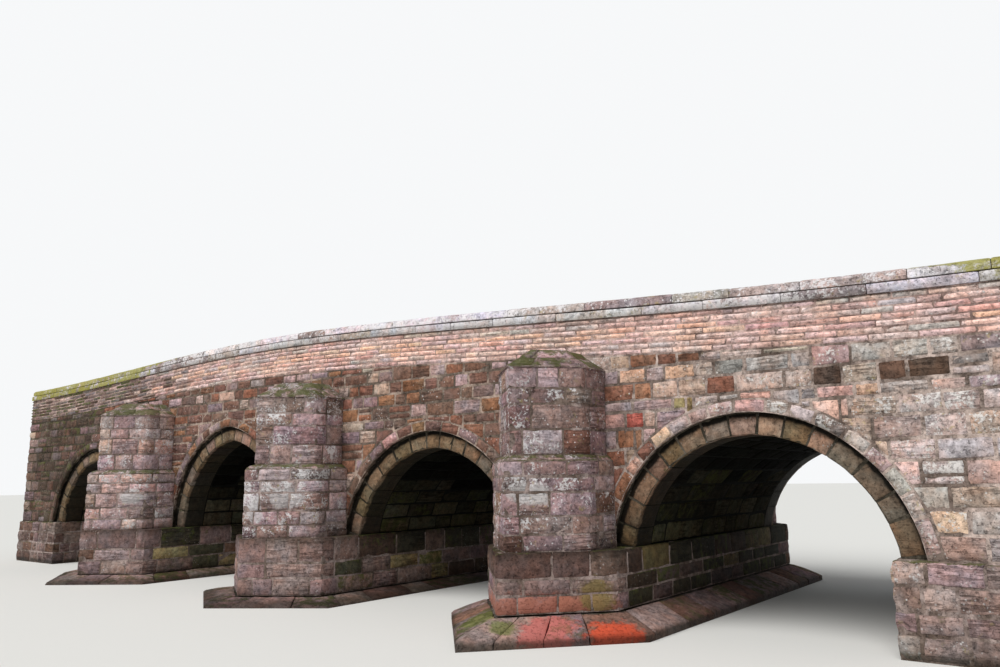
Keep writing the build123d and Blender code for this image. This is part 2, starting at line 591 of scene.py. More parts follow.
@dataclass
class StoneYard:
    """Models the few stones that all the walls are laid from.

    Attributes:
        columns: Where the front's vertices stand across a stone.
        rows: Where they stand up a stone.
        variety: How many stones are modelled for each way of dressing.
    """

    columns: Floats = (0.0, 0.1, 0.3, 0.5, 0.7, 0.9, 1.0)
    rows: Floats = (0.0, 0.1, 0.5, 0.9, 1.0)
    variety: int = 7
    forms: dict[Cut, list[StoneForm]] = field(default_factory=dict)

    def open(self) -> None:
        """Model every stone."""
        for cut, bulge, rough, chip in (
            (Cut.SQUARED, 0.05, 0.070, 0.050),
            (Cut.ROCK_FACED, 0.20, 0.080, 0.070),
            (Cut.WORN, 0.06, 0.080, 0.080),
        ):
            self.forms[cut] = [
                self.model(f"{cut.value}_stone", bulge, rough, chip, seed)
                for seed in range(1, self.variety + 1)
            ]

    def model(self, name: str, bulge: float, rough: float, chip: float, seed: int) -> StoneForm:
        """Model one stone from a grid: drawn out to a block, edges eased, face roughened.

        Args:
            name: Name of the object while it is modelled.
            bulge: How far the middle stands out, in tenths of a metre.
            rough: How uneven the face is.
            chip: How uneven the edges are.
            seed: Which of the stones this is.

        Returns:
            The finished stone.
        """
        across, up = len(self.columns) - 1, len(self.rows) - 1
        stone = primitive(
            bpy.ops.mesh.primitive_grid_add, name,
            x_subdivisions=across, y_subdivisions=up, size=1, location=(0.5, 0.5, 0),
        )
        bpy.ops.object.transform_apply(location=True, rotation=True, scale=True)
        mesh = stone.data
        for vertex in mesh.vertices:
            vertex.co.x = self.columns[round(vertex.co.x * across)]
            vertex.co.y = self.rows[round(vertex.co.y * up)]
        with edit_mode():
            bpy.ops.mesh.select_mode(type="FACE")
            bpy.ops.mesh.select_all(action="SELECT")
            bpy.ops.mesh.extrude_region_move(TRANSFORM_OT_translate={"value": (0, 0, -1)})
            bpy.ops.mesh.dissolve_faces()
            face_outwards()
            bpy.ops.mesh.select_mode(type="VERT")

        def on_rim(co: Array) -> bool:
            """Whether a vertex lies on the edge of the front."""
            return co[2] > -0.5 and (min(co[0], co[1]) < 0.01 or max(co[0], co[1]) > 0.99)

        rim = np.array([on_rim(v.co) for v in mesh.vertices], float)
        front = np.array([v.co.z > -0.5 for v in mesh.vertices])
        for test, offset, lift in (
            (on_rim, chip, -0.12),
            (lambda co: co[2] > -0.05 and 0.05 < co[0] < 0.95 and 0.05 < co[1] < 0.95, rough, 0.0),
            (lambda co: co[2] > -0.09 and 0.2 < co[0] < 0.8 and 0.3 < co[1] < 0.7, rough / 2, bulge),
        ):
            pick_all(mesh, test)
            with edit_mode():
                bpy.ops.transform.translate(value=(0, 0, lift))
                bpy.ops.transform.vertex_random(offset=offset, uniform=0.0, normal=0.0, seed=seed)
        points = np.array([v.co for v in mesh.vertices])
        points[~front, 2] = -1.0
        return StoneForm.of(stone, points, rim)


@dataclass(frozen=True)
class Cell:
    """Room for one stone on a face.

    Attributes:
        corners: Lower left, lower right, upper right and upper left, as places along and up.
        turns_at: Place along the face of a corner that the stone turns round.
    """

    corners: tuple[Point, Point, Point, Point]
    turns_at: float | None = None

    @classmethod
    def box(cls, left: float, right: float, low: float, high: float, turns_at: float | None = None) -> "Cell":
        """Make a cell with upright ends."""
        return cls(((left, low), (right, low), (right, high), (left, high)), turns_at)

    @property
    def middle(self) -> Point:
        """Its middle, along and up the face."""
        return tuple(sum(c[k] for c in self.corners) / 4 for k in (0, 1))

    @property
    def width(self) -> float:
        """Its mean width."""
        c = self.corners
        return (c[1][0] - c[0][0] + c[2][0] - c[3][0]) / 2

    @property
    def height(self) -> float:
        """Its mean height."""
        c = self.corners
        return (c[3][1] - c[0][1] + c[2][1] - c[1][1]) / 2


@dataclass(frozen=True)
class Look:
    """How one stone is coloured and bedded.

    Attributes:
        colour: Its own colour.
        lichen: How much crust grows on it, 0 to 1.
        moss: How much moss grows on it, 0 to 1.
        damp: How wet and dark it is, 0 to 1; on sheltered stones part of it is painted shade.
        proud: How far it stands out of the mortar, in metres.
        head: How much painted shade darkens its top under an overhang, 0 to 1.
        foot: How much painted shade darkens its bottom, 0 to 1.
        black: How strongly painted shadow under an overhang, with some dirt, darkens its top, 2 or more for a
            full band.
        tilt: How far its face leans along and up, in metres.
    """

    colour: Colour
    lichen: float = 0.2
    moss: float = 0.0
    damp: float = 0.0
    proud: float = 0.008
    head: float = 0.0
    foot: float = 0.0
    black: float = 0.0
    tilt: Point = (0.0, 0.0)


@dataclass(frozen=True)
class Bedding:
    """How a wall's stones are worked and bedded.

    Attributes:
        cut: How they were dressed.
        joint: Width of the joints.
        edge: Width of the worn edges.
        relief: Metres that one unit of the modelled face stands for.
        slip: How far a corner may lie inside its place.
        depth: How deep the stones go behind the face.
        shortest: Shortest stone.
        longest: Longest stone.
    """

    cut: Cut = Cut.SQUARED
    joint: float = 0.012
    edge: float = 0.020
    relief: float = 0.14
    slip: float = 0.005
    depth: float = 0.05
    shortest: float = 0.26
    longest: float = 0.62


# Shortest stone, least lap of two courses' joints and least length of a stone past a corner
SHORTEST, LAP, RETURN = 0.05, 0.07, 0.13

# Share of a stone's height where the shadow under an overhang starts, and over which it deepens
SHADOW_START, SHADOW_RUN = 0.37, 0.56


class Masonry:
    """Stones laid on faces and gathered into one mesh."""

    def __init__(self, yard: StoneYard, bedding: Bedding, seed: int) -> None:
        """Start with no stones.

        Args:
            yard: Where the stones come from.
            bedding: How they are worked and bedded.
            seed: Seed of every choice made here.
        """
        self.yard = yard
        self.bedding = bedding
        self.dice = random.Random(seed)
        self.points: list[Array] = []
        self.faces: list[tuple[int, ...]] = []
        self.tints: list[Array] = []
        self.wears_and_shades: list[Array] = []
        self.count = 0

    def joints(
        self, start: float, end: float,
        corners: Iterable[float] = (), keep: Iterable[float] = (), old: Iterable[float] = (),
    ) -> list[float]:
        """Choose the upright joints of a course.

        Args:
            start: Where the course starts.
            end: Where it ends.
            corners: Places that a stone turns round, so that no joint comes near them.
            keep: Places that must have a joint.
            old: Joints of the course under it, which are kept clear of.

        Returns:
            All the joints, ends included.
        """
        short, long = self.bedding.shortest, self.bedding.longest
        found = [start]
        for stop in sorted(k for k in keep if start + SHORTEST < k < end - SHORTEST) + [end]:
            while stop - found[-1] > long:
                here = found[-1]
                for _ in range(8):
                    there = here + self.dice.uniform(short, long)
                    if min([abs(there - o) for o in old] + [1.0]) > LAP:
                        break
                for corner in corners:
                    if here < corner < there + RETURN and there - corner < RETURN:
                        there = corner + self.dice.uniform(0.14, 0.30)
                    elif here < corner < there:
                        there = min(there, corner + self.dice.uniform(0.2, 0.4))
                turned = [corner for corner in corners if here < corner < there]
                if len(turned) > 1:
                    there = (turned[0] + turned[1]) / 2
                if stop - there < short * 0.7:
                    there = (here + stop) / 2
                    if any(abs(there - c) < 0.1 for c in corners):
                        there += 0.16
                found.append(there)
            if stop - found[-1] > 0.04:
                found.append(stop)
        return found

    def course(
        self, wall: PlanWall, low: float, high: float, old: Iterable[float] = (), start: float = 0.0
    ) -> tuple[list[Cell], list[float]]:
        """Divide one course of a wall into stones.

        Args:
            wall: The wall.
            low: Height of the lower bed joint.
            high: Height of the upper bed joint.
            old: Joints of the course under it.
            start: Where along the wall the first stone starts.

        Returns:
            The cells, each with the corner that it turns round, and the course's own joints.
        """
        corners, cells = wall.corners(), []
        joints = self.joints(start, start + wall.length, corners=corners, old=old)
        for u0, u1 in pairwise(joints):
            if u1 - u0 < SHORTEST:
                continue
            turn = next((c for c in corners if u0 + 0.03 < c < u1 - 0.03), None)
            cells.append(Cell.box(u0, u1, low, high, turn))
        return cells, joints

    def lay(self, face: Face, cell: Cell, look: Look, depth: float | None = None) -> None:
        """Copy one stone into a cell of a face.

        Args:
            face: The face that it is laid on.
            cell: Its room.
            look: Its colour and bedding.
            depth: How deep it goes, or None for the wall's own depth.
        """
        bed, gap = self.bedding, self.bedding.joint / 2
        width, height = cell.width - 2 * gap, cell.height - 2 * gap
        if min(width, height) < 0.02:
            return
        form = self.dice.choice(self.yard.forms[bed.cut])
        across, up, out = form.points.T
        if self.dice.random() < 0.5:
            across, up = 1 - across, 1 - up
        su, sv = (self.spread(t, size, bed.edge) for t, size in ((across, width), (up, height)))
        if cell.turns_at is not None:
            left, right = cell.corners[0][0] + gap, cell.corners[1][0] - gap
            su = np.interp(su, (0, 0.5, 1), (0, (cell.turns_at - left) / (right - left), 1))
        signs = ((1, 1), (-1, 1), (-1, -1), (1, -1))
        inset = [[gap + self.dice.uniform(0, bed.slip) for _ in range(2)] for _ in signs]
        c = np.array([(u + p * a, v + q * b) for (u, v), (a, b), (p, q) in zip(cell.corners, signs, inset)])
        place = (
            np.outer((1 - su) * (1 - sv), c[0]) + np.outer(su * (1 - sv), c[1])
            + np.outer(su * sv, c[2]) + np.outer((1 - su) * sv, c[3])
        )
        lean = look.tilt[0] * (su - 0.5) + look.tilt[1] * (sv - 0.5)
        w = np.where(out < -0.6, -(depth or bed.depth), out * bed.relief + look.proud + lean)
        self.gather(form, face.place(place[:, 0], place[:, 1], w), face.turn < 0)
        # Painted shade: head and foot darken the top and the bottom of the stone, added to its wet darkening.
        damp = look.damp + look.head * np.clip(2 * sv - 1, 0, 1) + look.foot * np.clip(1 - 2 * sv, 0, 1)
        # Painted shadow under an overhang, with some dirt: a dark band over the stone's top, carried in the
        # rim channel.
        rim = np.maximum(form.rim, look.black * np.clip((sv - SHADOW_START) / SHADOW_RUN, 0, 1))
        self.colour(look, np.clip(damp, 0, 1), rim, look.moss)

    def gather(self, form: StoneForm, spots: Array, flip: bool) -> None:
        """Add a stone's vertices and faces.

        Args:
            form: The modelled stone.
            spots: Where its vertices are, in the bridge's frame.
            flip: Whether its faces are turned round.
        """
        for face in form.faces:
            self.faces.append(tuple(i + self.count for i in (face[::-1] if flip else face)))
        self.points.append(spots)
        self.count += len(spots)

    def colour(self, look: Look, damp: Array, rim: Array, moss: Array | float) -> None:
        """Note the colours, weathering and painted shade of one stone's vertices.

        Args:
            look: The stone's look.
            damp: Wet darkening of each vertex, with painted shade added.
            rim: 1 for each vertex on a worn edge, more where painted shadow under an overhang, with some
                dirt, darkens it.
            moss: Moss of each vertex.
        """
        one = np.ones(len(rim))
        self.tints.append(np.column_stack([one * k for k in (*look.colour, look.lichen)]))
        self.wears_and_shades.append(np.column_stack([one * moss, damp, rim, one * self.dice.random()]))

    @staticmethod
    def spread(t: Array, size: float, edge: float) -> Array:
        """Stretch the middle of a stone and keep the width of its worn edges."""
        e = min(edge, 0.3 * size) / size
        return np.interp(t, (0, 0.1, 0.9, 1), (0, e, 1 - e, 1))

    def finish(self, name: str, material: Material, slot: str) -> Object:
        """Make one object of all the stones.

        Args:
            name: Name of the piece.
            material: Its material.
            slot: Not used.

        Returns:
            The finished piece, riding on the bridge.
        """
        mesh = bpy.data.meshes.new(name)
        mesh.from_pydata(np.concatenate(self.points).tolist(), [], self.faces)
        # The wear layer holds moss, wet darkening with painted shade, worn edges with painted shadow bands,
        # and age.
        for label, rows in (("tint", self.tints), ("wear_and_shade", self.wears_and_shades)):
            layer = mesh.attributes.new(label, "FLOAT_COLOR", "POINT")
            layer.data.foreach_set("color", np.concatenate(rows).astype(np.float32).ravel())
        piece = bpy.data.objects.new(name, mesh)
        bpy.context.scene.collection.objects.link(piece)
        return settle(piece, material, smooth=50)


def settle(piece: Object, material: Material, smooth: float | None = None) -> Object:
    """Give a piece its material, shading and body.

    Args:
        piece: The piece.
        material: Its material.
        smooth: Largest angle in degrees that is shaded smooth, or None.

    Returns:
        The same piece.
    """
    piece.data.materials.clear()
    piece.data.materials.append(material)
    if smooth is not None:
        bpy.ops.object.select_all(action="DESELECT")
        piece.select_set(True)
        bpy.context.view_layer.objects.active = piece
        bpy.ops.object.shade_smooth_by_angle(angle=math.radians(smooth))
    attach(piece, "root")
    LOG.info("%s: %d faces", piece.name, len(piece.data.polygons))
    return piece


def palette(**parts: float) -> tuple[tuple[Tone, float], ...]:
    """Pair each named colour with its share of the stones."""
    return tuple((Tone[name], share) for name, share in parts.items())


@dataclass(frozen=True)
class Quarry:
    """Colours and weathering that a wall's stones are drawn from.

    Attributes:
        tones: Each colour with its share of the stones.
        lichen: Least and most crust.
        moss: Least and most moss.
        damp: Least and most wet darkening, which also stands for painted shade.
        proud: Least and most that a stone stands out.
        lean: Most that a face leans.
        shade: Most that a stone's brightness differs.
    """

    tones: tuple[tuple[Tone, float], ...]
    lichen: Point = (0.0, 0.5)
    moss: Point = (0.0, 0.1)
    damp: Point = (0.0, 0.1)
    proud: Point = (0.004, 0.012)
    lean: float = 0.005
    shade: float = 0.16

    def draw(self, dice: random.Random, tone: Tone | None = None, **fixed: float) -> Look:
        """Choose one stone's look.

        Args:
            dice: Source of the choices.
            tone: Its colour, or None to choose it by the shares.
            fixed: Values of the look that aren't chosen.

        Returns:
            The look.
        """
        names, shares = zip(*self.tones)
        base = (tone or dice.choices(names, shares)[0]).value
        light = 1 + dice.uniform(-self.shade, self.shade)
        colour = tuple(min(0.8, c * light * (1 + dice.uniform(-0.05, 0.05))) for c in base)
        values = {
            "lichen": dice.uniform(*self.lichen),
            "moss": dice.uniform(*self.moss),
            "damp": dice.uniform(*self.damp),
            "proud": dice.uniform(*self.proud),
        }
        values.update(fixed)
        tilt = (dice.uniform(-self.lean, self.lean), dice.uniform(-self.lean, self.lean))
        return Look(colour=colour, tilt=tilt, **values)


# Walls


PALE_WALL = Quarry(
    tones=palette(
        SILVER=0.36, PALE=0.18, BUFF=0.16, MAUVE=0.12, GREY=0.06, PINK=0.06, SAND=0.03, RUST=0.02, BROWN=0.01
    ),
    lichen=(0.4, 1.05),
)
WARM_WALL = Quarry(
    tones=palette(
        BUFF=0.24, SILVER=0.14, MAUVE=0.16, SAND=0.16, ORANGE=0.10, RUST=0.09, HEATHER=0.08, OCHRE=0.03
    ),
    lichen=(0.1, 0.7),
)
RUSTY_WALL = Quarry(
    tones=palette(RUSSET=0.30, RUST=0.20, ORANGE=0.10, PURPLE=0.16, BUFF=0.06, MAUVE=0.10, BROWN=0.08),
    lichen=(0.0, 0.5), damp=(0.0, 0.15),
)
DARK_WALL = Quarry(
    tones=palette(BROWN=0.30, UMBER=0.24, RUSSET=0.26, PURPLE=0.12, GREY=0.08),
    lichen=(0.0, 0.4), damp=(0.3, 0.7), moss=(0.1, 0.8),
)


@dataclass(frozen=True)
class KnownStone:
    """A stone that stands out in its course.

    Attributes:
        low: Its lower bed joint.
        left: X of its left end.
        right: X of its right end.
        tone: Its colour.
    """

    low: float
    left: float
    right: float
    tone: Tone


@dataclass
class Walls:
    """Walls that stones are laid on.

    Attributes:
        shape: Sizes of the solids.
        yard: Where the stones come from.
    """

    shape: BridgeShape
    yard: StoneYard


@dataclass
class SpandrelWalls(Walls):
    """Stones of the eight spandrel walls: an outer order round each arch, and courses cut to its back.

    Attributes:
        lines: Heights of the bed joints.
        order: Width of the outer order, which is flush with the wall.
        sliver: Thinnest stone; a thinner one becomes part of its neighbour.
        quoins: Lengths of the corner stones at the bridge's ends, in turn.
        staggers: How far the joint between two bays lies off the pier's middle, in turn.
        tall: Least height of a cell that may hold two thin stones.
        halved: Share of the tall cells that do.
        zones: Where each stretch of wall ends, and what it is built of.
        known: Stones of the front that stand out.
    """

    lines: Floats = (
        1.05, 1.33, 1.60, 1.86, 2.14, 2.38, 2.66, 2.89, 3.05, 3.29, 3.50, 3.72, 3.93, 4.15,
    )
    order: float = 0.17
    sliver: float = 0.06
    quoins: Point = (0.54, 0.32)
    staggers: Point = (-0.15, 0.17)
    tall: float = 0.23
    halved: float = 0.16
    bedding: Bedding = Bedding()
    wedges: Bedding = Bedding(joint=0.010, edge=0.016, shortest=0.20, longest=0.36)
    zones: tuple[tuple[float, Quarry], ...] = (
        (-8.6, DARK_WALL), (5.2, RUSTY_WALL), (7.3, WARM_WALL), (99.0, PALE_WALL),
    )
    known: tuple[KnownStone, ...] = tuple(KnownStone(*row) for row in (
        (2.38, 6.30, 6.70, Tone.ORANGE), (2.66, 6.10, 6.45, Tone.ROSE), (2.66, 6.45, 6.73, Tone.RED),
        (2.66, 8.98, 9.42, Tone.PINK), (2.89, 7.18, 7.47, Tone.OCHRE), (2.80, 8.00, 8.40, Tone.ROSE),
        (2.89, 9.05, 9.50, Tone.ROSE), (3.05, 6.60, 6.87, Tone.ORANGE), (3.05, 7.66, 8.06, Tone.RUST),
        (3.05, 9.03, 9.37, Tone.UMBER), (3.05, 9.77, 10.08, Tone.UMBER),
        (3.05, 10.08, 10.52, Tone.UMBER), (3.50, 6.55, 7.60, Tone.RUST), (2.66, 3.15, 3.45, Tone.RUST),
        (2.89, 2.2, 2.6, Tone.ORANGE), (3.05, 10.9, 11.4, Tone.BUFF), (2.55, 1.62, 2.00, Tone.ROSE),
    ))

    def steep(self, arch: ArchCurve, z: float) -> bool:
        """Whether the back of a ring is steep enough at a height for one cut stone to meet it."""
        back = self.shape.ring + self.order
        return arch.foot(z - 0.25, back) - arch.foot(z, back) < 0.22

    def reach(self, index: int, z: float) -> float:
        """Half width that a cutwater covers at a height, 0 over its cap.

        Args:
            index: Which pier.
            z: The height.

        Returns:
            The half width.
        """
        s = self.shape
        if z > s.cap_top + 0.02:
            return 0.0
        growth = 0.0 if z < s.stage_top + 0.05 else -s.setbacks[index]
        return s.cutwater_reach(index, growth - (s.cap_inset if z > s.cap + 0.05 else 0)) - 0.03

    def bay_ends(self, bay: int, high: float, order: int) -> Point:
        """Where a course of a bay starts and ends.

        Args:
            bay: Which bay.
            high: Height of the upper bed joint.
            order: Number of the course.

        Returns:
            X of its left and of its right end.
        """
        s, centres = self.shape, self.shape.pier_centres()
        stagger, quoin = self.staggers[order % 2], self.quoins[order % 2]
        ends = []
        for pier, sign in ((bay - 1, 1), (bay, -1)):
            if not 0 <= pier < len(centres):
                ends.append(-sign * (s.half_length - quoin))
            else:
                covered = self.reach(pier, high)
                ends.append(centres[pier] + (sign * covered if covered > 0 else stagger))
        return ends[0], ends[1]

    def course(
        self, bay: int, order: int, stones: Masonry, old: list[float], fixed: Sequence[float]
    ) -> tuple[list[Cell], list[float]]:
        """Divide one course of a bay into stones.

        Args:
            bay: Which bay.
            order: Number of the course from below.
            stones: The masonry that chooses the joints.
            old: Joints of the course under it.
            fixed: Joints that are known.

        Returns:
            The cells, and the course's own joints.
        """
        s, cut = self.shape, self.sliver
        low, high = self.lines[order : order + 2]
        arch, ring = s.arch(bay), s.ring + self.order
        left, right = self.bay_ends(bay, high, order)
        crown = arch.roof(arch.centre, ring)
        follow = arch.foot(low, ring) if self.steep(arch, low) else arch.foot(low - cut, ring)
        runs = [(left, left, right, right)]
        if crown > high - cut:
            if self.steep(arch, high):
                near, far, follow = arch.foot(low, ring), arch.foot(high, ring), 0.0
            else:
                near = far = arch.foot(high - cut, ring)
            c = arch.centre
            runs = [(left, left, c - near, c - far), (c + near, c + far, right, right)]
        elif crown < low - cut:
            follow = 0.0

        def roof(x: float) -> float:
            """Underside of the parapet."""
            return float(s.bed(x)) - s.parapet

        marks = list(fixed) + ([arch.centre - follow, arch.centre + follow] if follow else [])
        grid = np.linspace(left, right, 300)
        for level in (low + cut, high + cut):
            above = s.bed(grid) - s.parapet > level
            marks += [float(grid[k]) for k in np.nonzero(above[1:] != above[:-1])[0]]
        cells, made = [], []
        for a_low, a_high, b_low, b_high in runs:
            start, end = min(a_low, a_high), max(b_low, b_high)
            if end - start < 0.1:
                continue
            joints = stones.joints(start, end, keep=marks, old=old)
            made += joints
            for k, (x0, x1) in enumerate(pairwise(joints)):
                middle = (x0 + x1) / 2
                if roof(middle) < low + cut:
                    continue
                tops = [roof(x) if roof(middle) < high + cut else high for x in (x0, x1)]
                along = abs(middle - arch.centre) < follow
                bases = [arch.roof(x, ring) if along else low for x in (x0, x1)]
                ll, lh = (a_low, a_high) if k == 0 else (x0, x0)
                rl, rh = (b_low, b_high) if k == len(joints) - 2 else (x1, x1)
                cells.append(Cell(((ll, bases[0]), (rl, bases[1]), (rh, tops[1]), (lh, tops[0]))))
        return cells, made

    def split(self, cell: Cell, dice: random.Random) -> list[Cell]:
        """Sometimes lay two thin stones in a tall cell.

        Args:
            cell: The cell.
            dice: Source of the choices.

        Returns:
            One cell or two.
        """
        if cell.height < self.tall or dice.random() > self.halved:
            return [cell]
        share = dice.uniform(0.4, 0.6)
        a, b, c, d = cell.corners
        left = tuple(p + (q - p) * share for p, q in zip(a, d))
        right = tuple(p + (q - p) * share for p, q in zip(b, c))
        return [Cell((a, b, right, left)), Cell((left, right, c, d))]

    def known_at(self, place: Point) -> KnownStone | None:
        """The stone that stands out and lies at a place of the wall, if there is one.

        Args:
            place: X and Z of the place.

        Returns:
            The stone, or None.
        """
        x, z = place
        for stone in self.known:
            if stone.left < x < stone.right and 0 < z - stone.low < 0.22:
                return stone
        return None

    def look(self, dice: random.Random, side: Side, bay: int, place: Point) -> Look:
        """Choose a stone's look by where it lies.

        Args:
            dice: Source of the choices.
            side: Face of the bridge.
            bay: Which bay.
            place: X and Z of its middle.

        Returns:
            The look.
        """
        x, z = place
        where = x + dice.uniform(-0.7, 0.7)
        quarry = next(q for limit, q in self.zones if where < limit)
        known = self.known_at(place) if side is Side.FRONT else None
        arch = self.shape.arch(bay)
        fixed = {}
        if known:
            fixed = {"lichen": 0.1, "damp": 0.0, "moss": 0.0}
        elif z < 1.9 and abs(x - arch.centre) > 1.9:
            fixed = {"damp": dice.uniform(0.1, 0.3) * (2.6 - z)}
        return quarry.draw(dice, known.tone if known else None, **fixed)

    def outer_order(self, stones: Masonry, side: Side, bay: int) -> None:
        """Lay wedge-shaped stones round the ring of an arch, where no cutwater covers them.

        Args:
            stones: Where they are gathered.
            side: Face of the bridge.
            bay: Which bay.
        """
        s = self.shape
        arch, centres = s.arch(bay), s.pier_centres()
        stones.bedding = self.wedges
        face = RingFace(side, s.half_width, arch)
        joints = stones.joints(0.0, 2 * arch.run)
        for s0, s1 in pairwise(joints):
            middle = arch.at(np.array([(s0 + s1) / 2]), s.ring + self.order / 2)
            x, z = (float(value[0]) for value in middle)
            piers = [p for p in (bay - 1, bay) if 0 <= p < len(centres)]
            if any(abs(x - centres[p]) < self.reach(p, z) - self.order / 2 for p in piers):
                continue
            # Painted shade at the foot of the outer order, along the recess over the ring.
            look = replace(self.look(stones.dice, side, bay, (x, z)), foot=0.5)
            stones.lay(face, Cell.box(s0, s1, s.ring - 0.008, s.ring + self.order), look)

    def build(self, material: Material) -> None:
        """Lay and finish the stones of all eight walls.

        Args:
            material: Material of the stones.
        """
        for side in Side:
            face = WallFace(side, self.shape.half_width)
            for bay in range(len(self.shape.spans)):
                stones = Masonry(self.yard, self.bedding, 100 + 10 * bay + side.value)
                old: list[float] = []
                for order in range(len(self.lines) - 1):
                    known = [k for k in self.known if k.low == self.lines[order] and side is Side.FRONT]
                    fixed = sorted({x for k in known for x in (k.left, k.right)})
                    cells, old = self.course(bay, order, stones, old, fixed)
                    for cell in cells:
                        whole = side is Side.FRONT and self.known_at(cell.middle)
                        for part in [cell] if whole else self.split(cell, stones.dice):
                            stones.lay(face, part, self.look(stones.dice, side, bay, part.middle))
                self.outer_order(stones, side, bay)
                stones.finish(f"spandrel_stones_{side.word}_{bay + 1}", material, "spandrel_stone")


@dataclass
class EndWalls(Walls):
    """Stones and quoins of the two ends of the bridge, from the ground to the parapets."""

    spandrels: SpandrelWalls
    feet: Floats = (0.0, 0.28, 0.52, 0.79, 1.05)
    turned: float = 1.0
    bedding: Bedding = Bedding(longest=0.7)
    dark: Quarry = Quarry(
        tones=palette(BROWN=0.28, TAUPE=0.30, PURPLE=0.24, RUSSET=0.14, BUFF=0.04),
        lichen=(0.05, 0.5), moss=(0.0, 0.45), damp=(0.05, 0.4),
    )
    light: Quarry = Quarry(
        tones=palette(SILVER=0.30, MAUVE=0.26, TAUPE=0.18, BUFF=0.18, RUSSET=0.08),
        lichen=(0.2, 0.8), moss=(0.0, 0.2), damp=(0.0, 0.25),
    )

    def build(self, material: Material) -> None:
        """Lay and finish the stones of both ends and both abutments.

        Args:
            material: Material of the stones.
        """
        s = self.shape
        for word, end, length, quarry in (
            ("left", -1, s.left_abutment, self.dark), ("right", 1, s.right_abutment, self.light),
        ):
            outer, w = end * s.half_length, s.half_width
            inner = outer - end * self.turned
            stones = Masonry(self.yard, self.bedding, 300 + end)
            wall = PlanWall([(inner, -end * w), (outer, -end * w), (outer, end * w), (inner, end * w)])
            self.upper(stones, quarry, wall, outer)
            wide = w + s.ledge
            near = outer - end * (length + s.ledge)
            x0, x1 = min(outer, near), max(outer, near)
            foot = PlanWall([(x0, -wide), (x1, -wide), (x1, wide), (x0, wide)], closed=True)
            old: list[float] = []
            for k, (low, high) in enumerate(pairwise(self.feet)):
                cells, old = stones.course(foot, low, high, old, stones.dice.uniform(0.3, 1.5))
                deep = 0.28 if k == len(self.feet) - 2 else None
                for cell in cells:
                    damp = 0.5 - 0.3 * low + stones.dice.uniform(0, 0.15)
                    look = quarry.draw(stones.dice, damp=damp, moss=0.4 * stones.dice.random())
                    stones.lay(foot, cell, look, deep)
            stones.finish(f"end_stones_{word}", material, "pier_stone")

    def upper(self, stones: Masonry, quarry: Quarry, wall: PlanWall, outer: float) -> None:
        """Lay one end over the springing, its quoins in bond with the long faces.

        Args:
            stones: Where the stones are gathered.
            quarry: What they are drawn from.
            wall: Line of the end and its two corners.
            outer: X of the end.
        """
        s = self.shape
        parapet = float(s.bed(outer)) - s.parapet
        road = float(s.bed(outer)) - s.road_drop
        first, last = wall.corners()
        thick = s.wall
        lines = self.spandrels.lines
        for order, (low, high) in enumerate(pairwise(lines)):
            quoin = self.spandrels.quoins[order % 2]
            inner = self.spandrels.quoins[(order + 1) % 2] - 0.08
            joints = [first - quoin, *stones.joints(first + inner, last - inner), last + quoin]
            if high > road - 0.06:
                joints = sorted(set(joints + [first + thick, last - thick]))
            for u0, u1 in pairwise(joints):
                if u1 - u0 < SHORTEST:
                    continue
                middle = (u0 + u1) / 2
                top = road if first + thick - 0.01 < middle < last - thick + 0.01 else parapet
                if top < low + 0.06:
                    continue
                turn = next((c for c in (first, last) if u0 < c < u1), None)
                cell = Cell.box(u0, u1, low, top if top < high + 0.06 else high, turn)
                stones.lay(wall, cell, quarry.draw(stones.dice))


@dataclass
class Piers(Walls):
    """Coursed stones of the three piers, their top course wide enough for the ledge."""

    shares: Floats = (0.0, 0.30, 0.57, 1.0)
    lip: float = 0.008
    sheltered_shade_and_damp: Floats = (0.15, 0.3, 0.85)
    bedding: Bedding = Bedding(shortest=0.40, longest=0.95, joint=0.007, relief=0.11, slip=0.004)
    quarry: Quarry = Quarry(
        tones=palette(TAUPE=0.56, PURPLE=0.26, RUSSET=0.10, HEATHER=0.08),
        lichen=(0.0, 0.35), moss=(0.0, 0.2), damp=(0.0, 0.2), shade=0.10,
    )

    def build(self, material: Material) -> None:
        """Lay and finish the stones of the piers.

        Args:
            material: Material of the stones.
        """
        s = self.shape
        for index, foot in enumerate(s.apron_tops):
            stones = Masonry(self.yard, self.bedding, 400 + index)
            wall = PlanWall(s.pier_plan(index), closed=True)
            lines = [foot + share * (s.springing - foot) for share in self.shares]
            old: list[float] = []
            for order, (low, high) in enumerate(pairwise(lines)):
                top = order == len(lines) - 2
                high += self.lip if top else 0.0
                cells, old = stones.course(wall, low, high, old, stones.dice.uniform(0.3, 0.9))
                for cell in cells:
                    outward = abs(wall.plan_at(cell.middle[0])[1]) - s.half_width
                    inside = max(0.0, 1 - max(0.0, outward) / 0.4)
                    # Under the arches the stones are wetter, mossier and darker; part of the darkening is
                    # painted shade.
                    fixed = {"damp": stones.dice.uniform(0.0, 0.15) + self.sheltered_shade_and_damp[index] * inside}
                    fixed["moss"] = stones.dice.uniform(0.0, 0.2) + stones.dice.uniform(0.0, 0.7) * inside
                    tone = None
                    # Painted shadow under the ledge and the plants over it: the top course is darker at its
                    # head and all over, and brown on the third pier.
                    if top:
                        fixed["head"] = 1.3
                        fixed["damp"] += 0.25
                        tone = Tone.BROWN if index == 2 else None
                    if inside > 0.5 and stones.dice.random() < 0.65:
                        tone = stones.dice.choice((Tone.STAINED, Tone.STAINED, Tone.UMBER, Tone.OCHRE))
                    look = self.quarry.draw(stones.dice, tone, **fixed)
                    stones.lay(wall, cell, look, 0.30 if top else None)
            stones.finish(f"pier_stones_{index + 1}", material, "pier_stone")


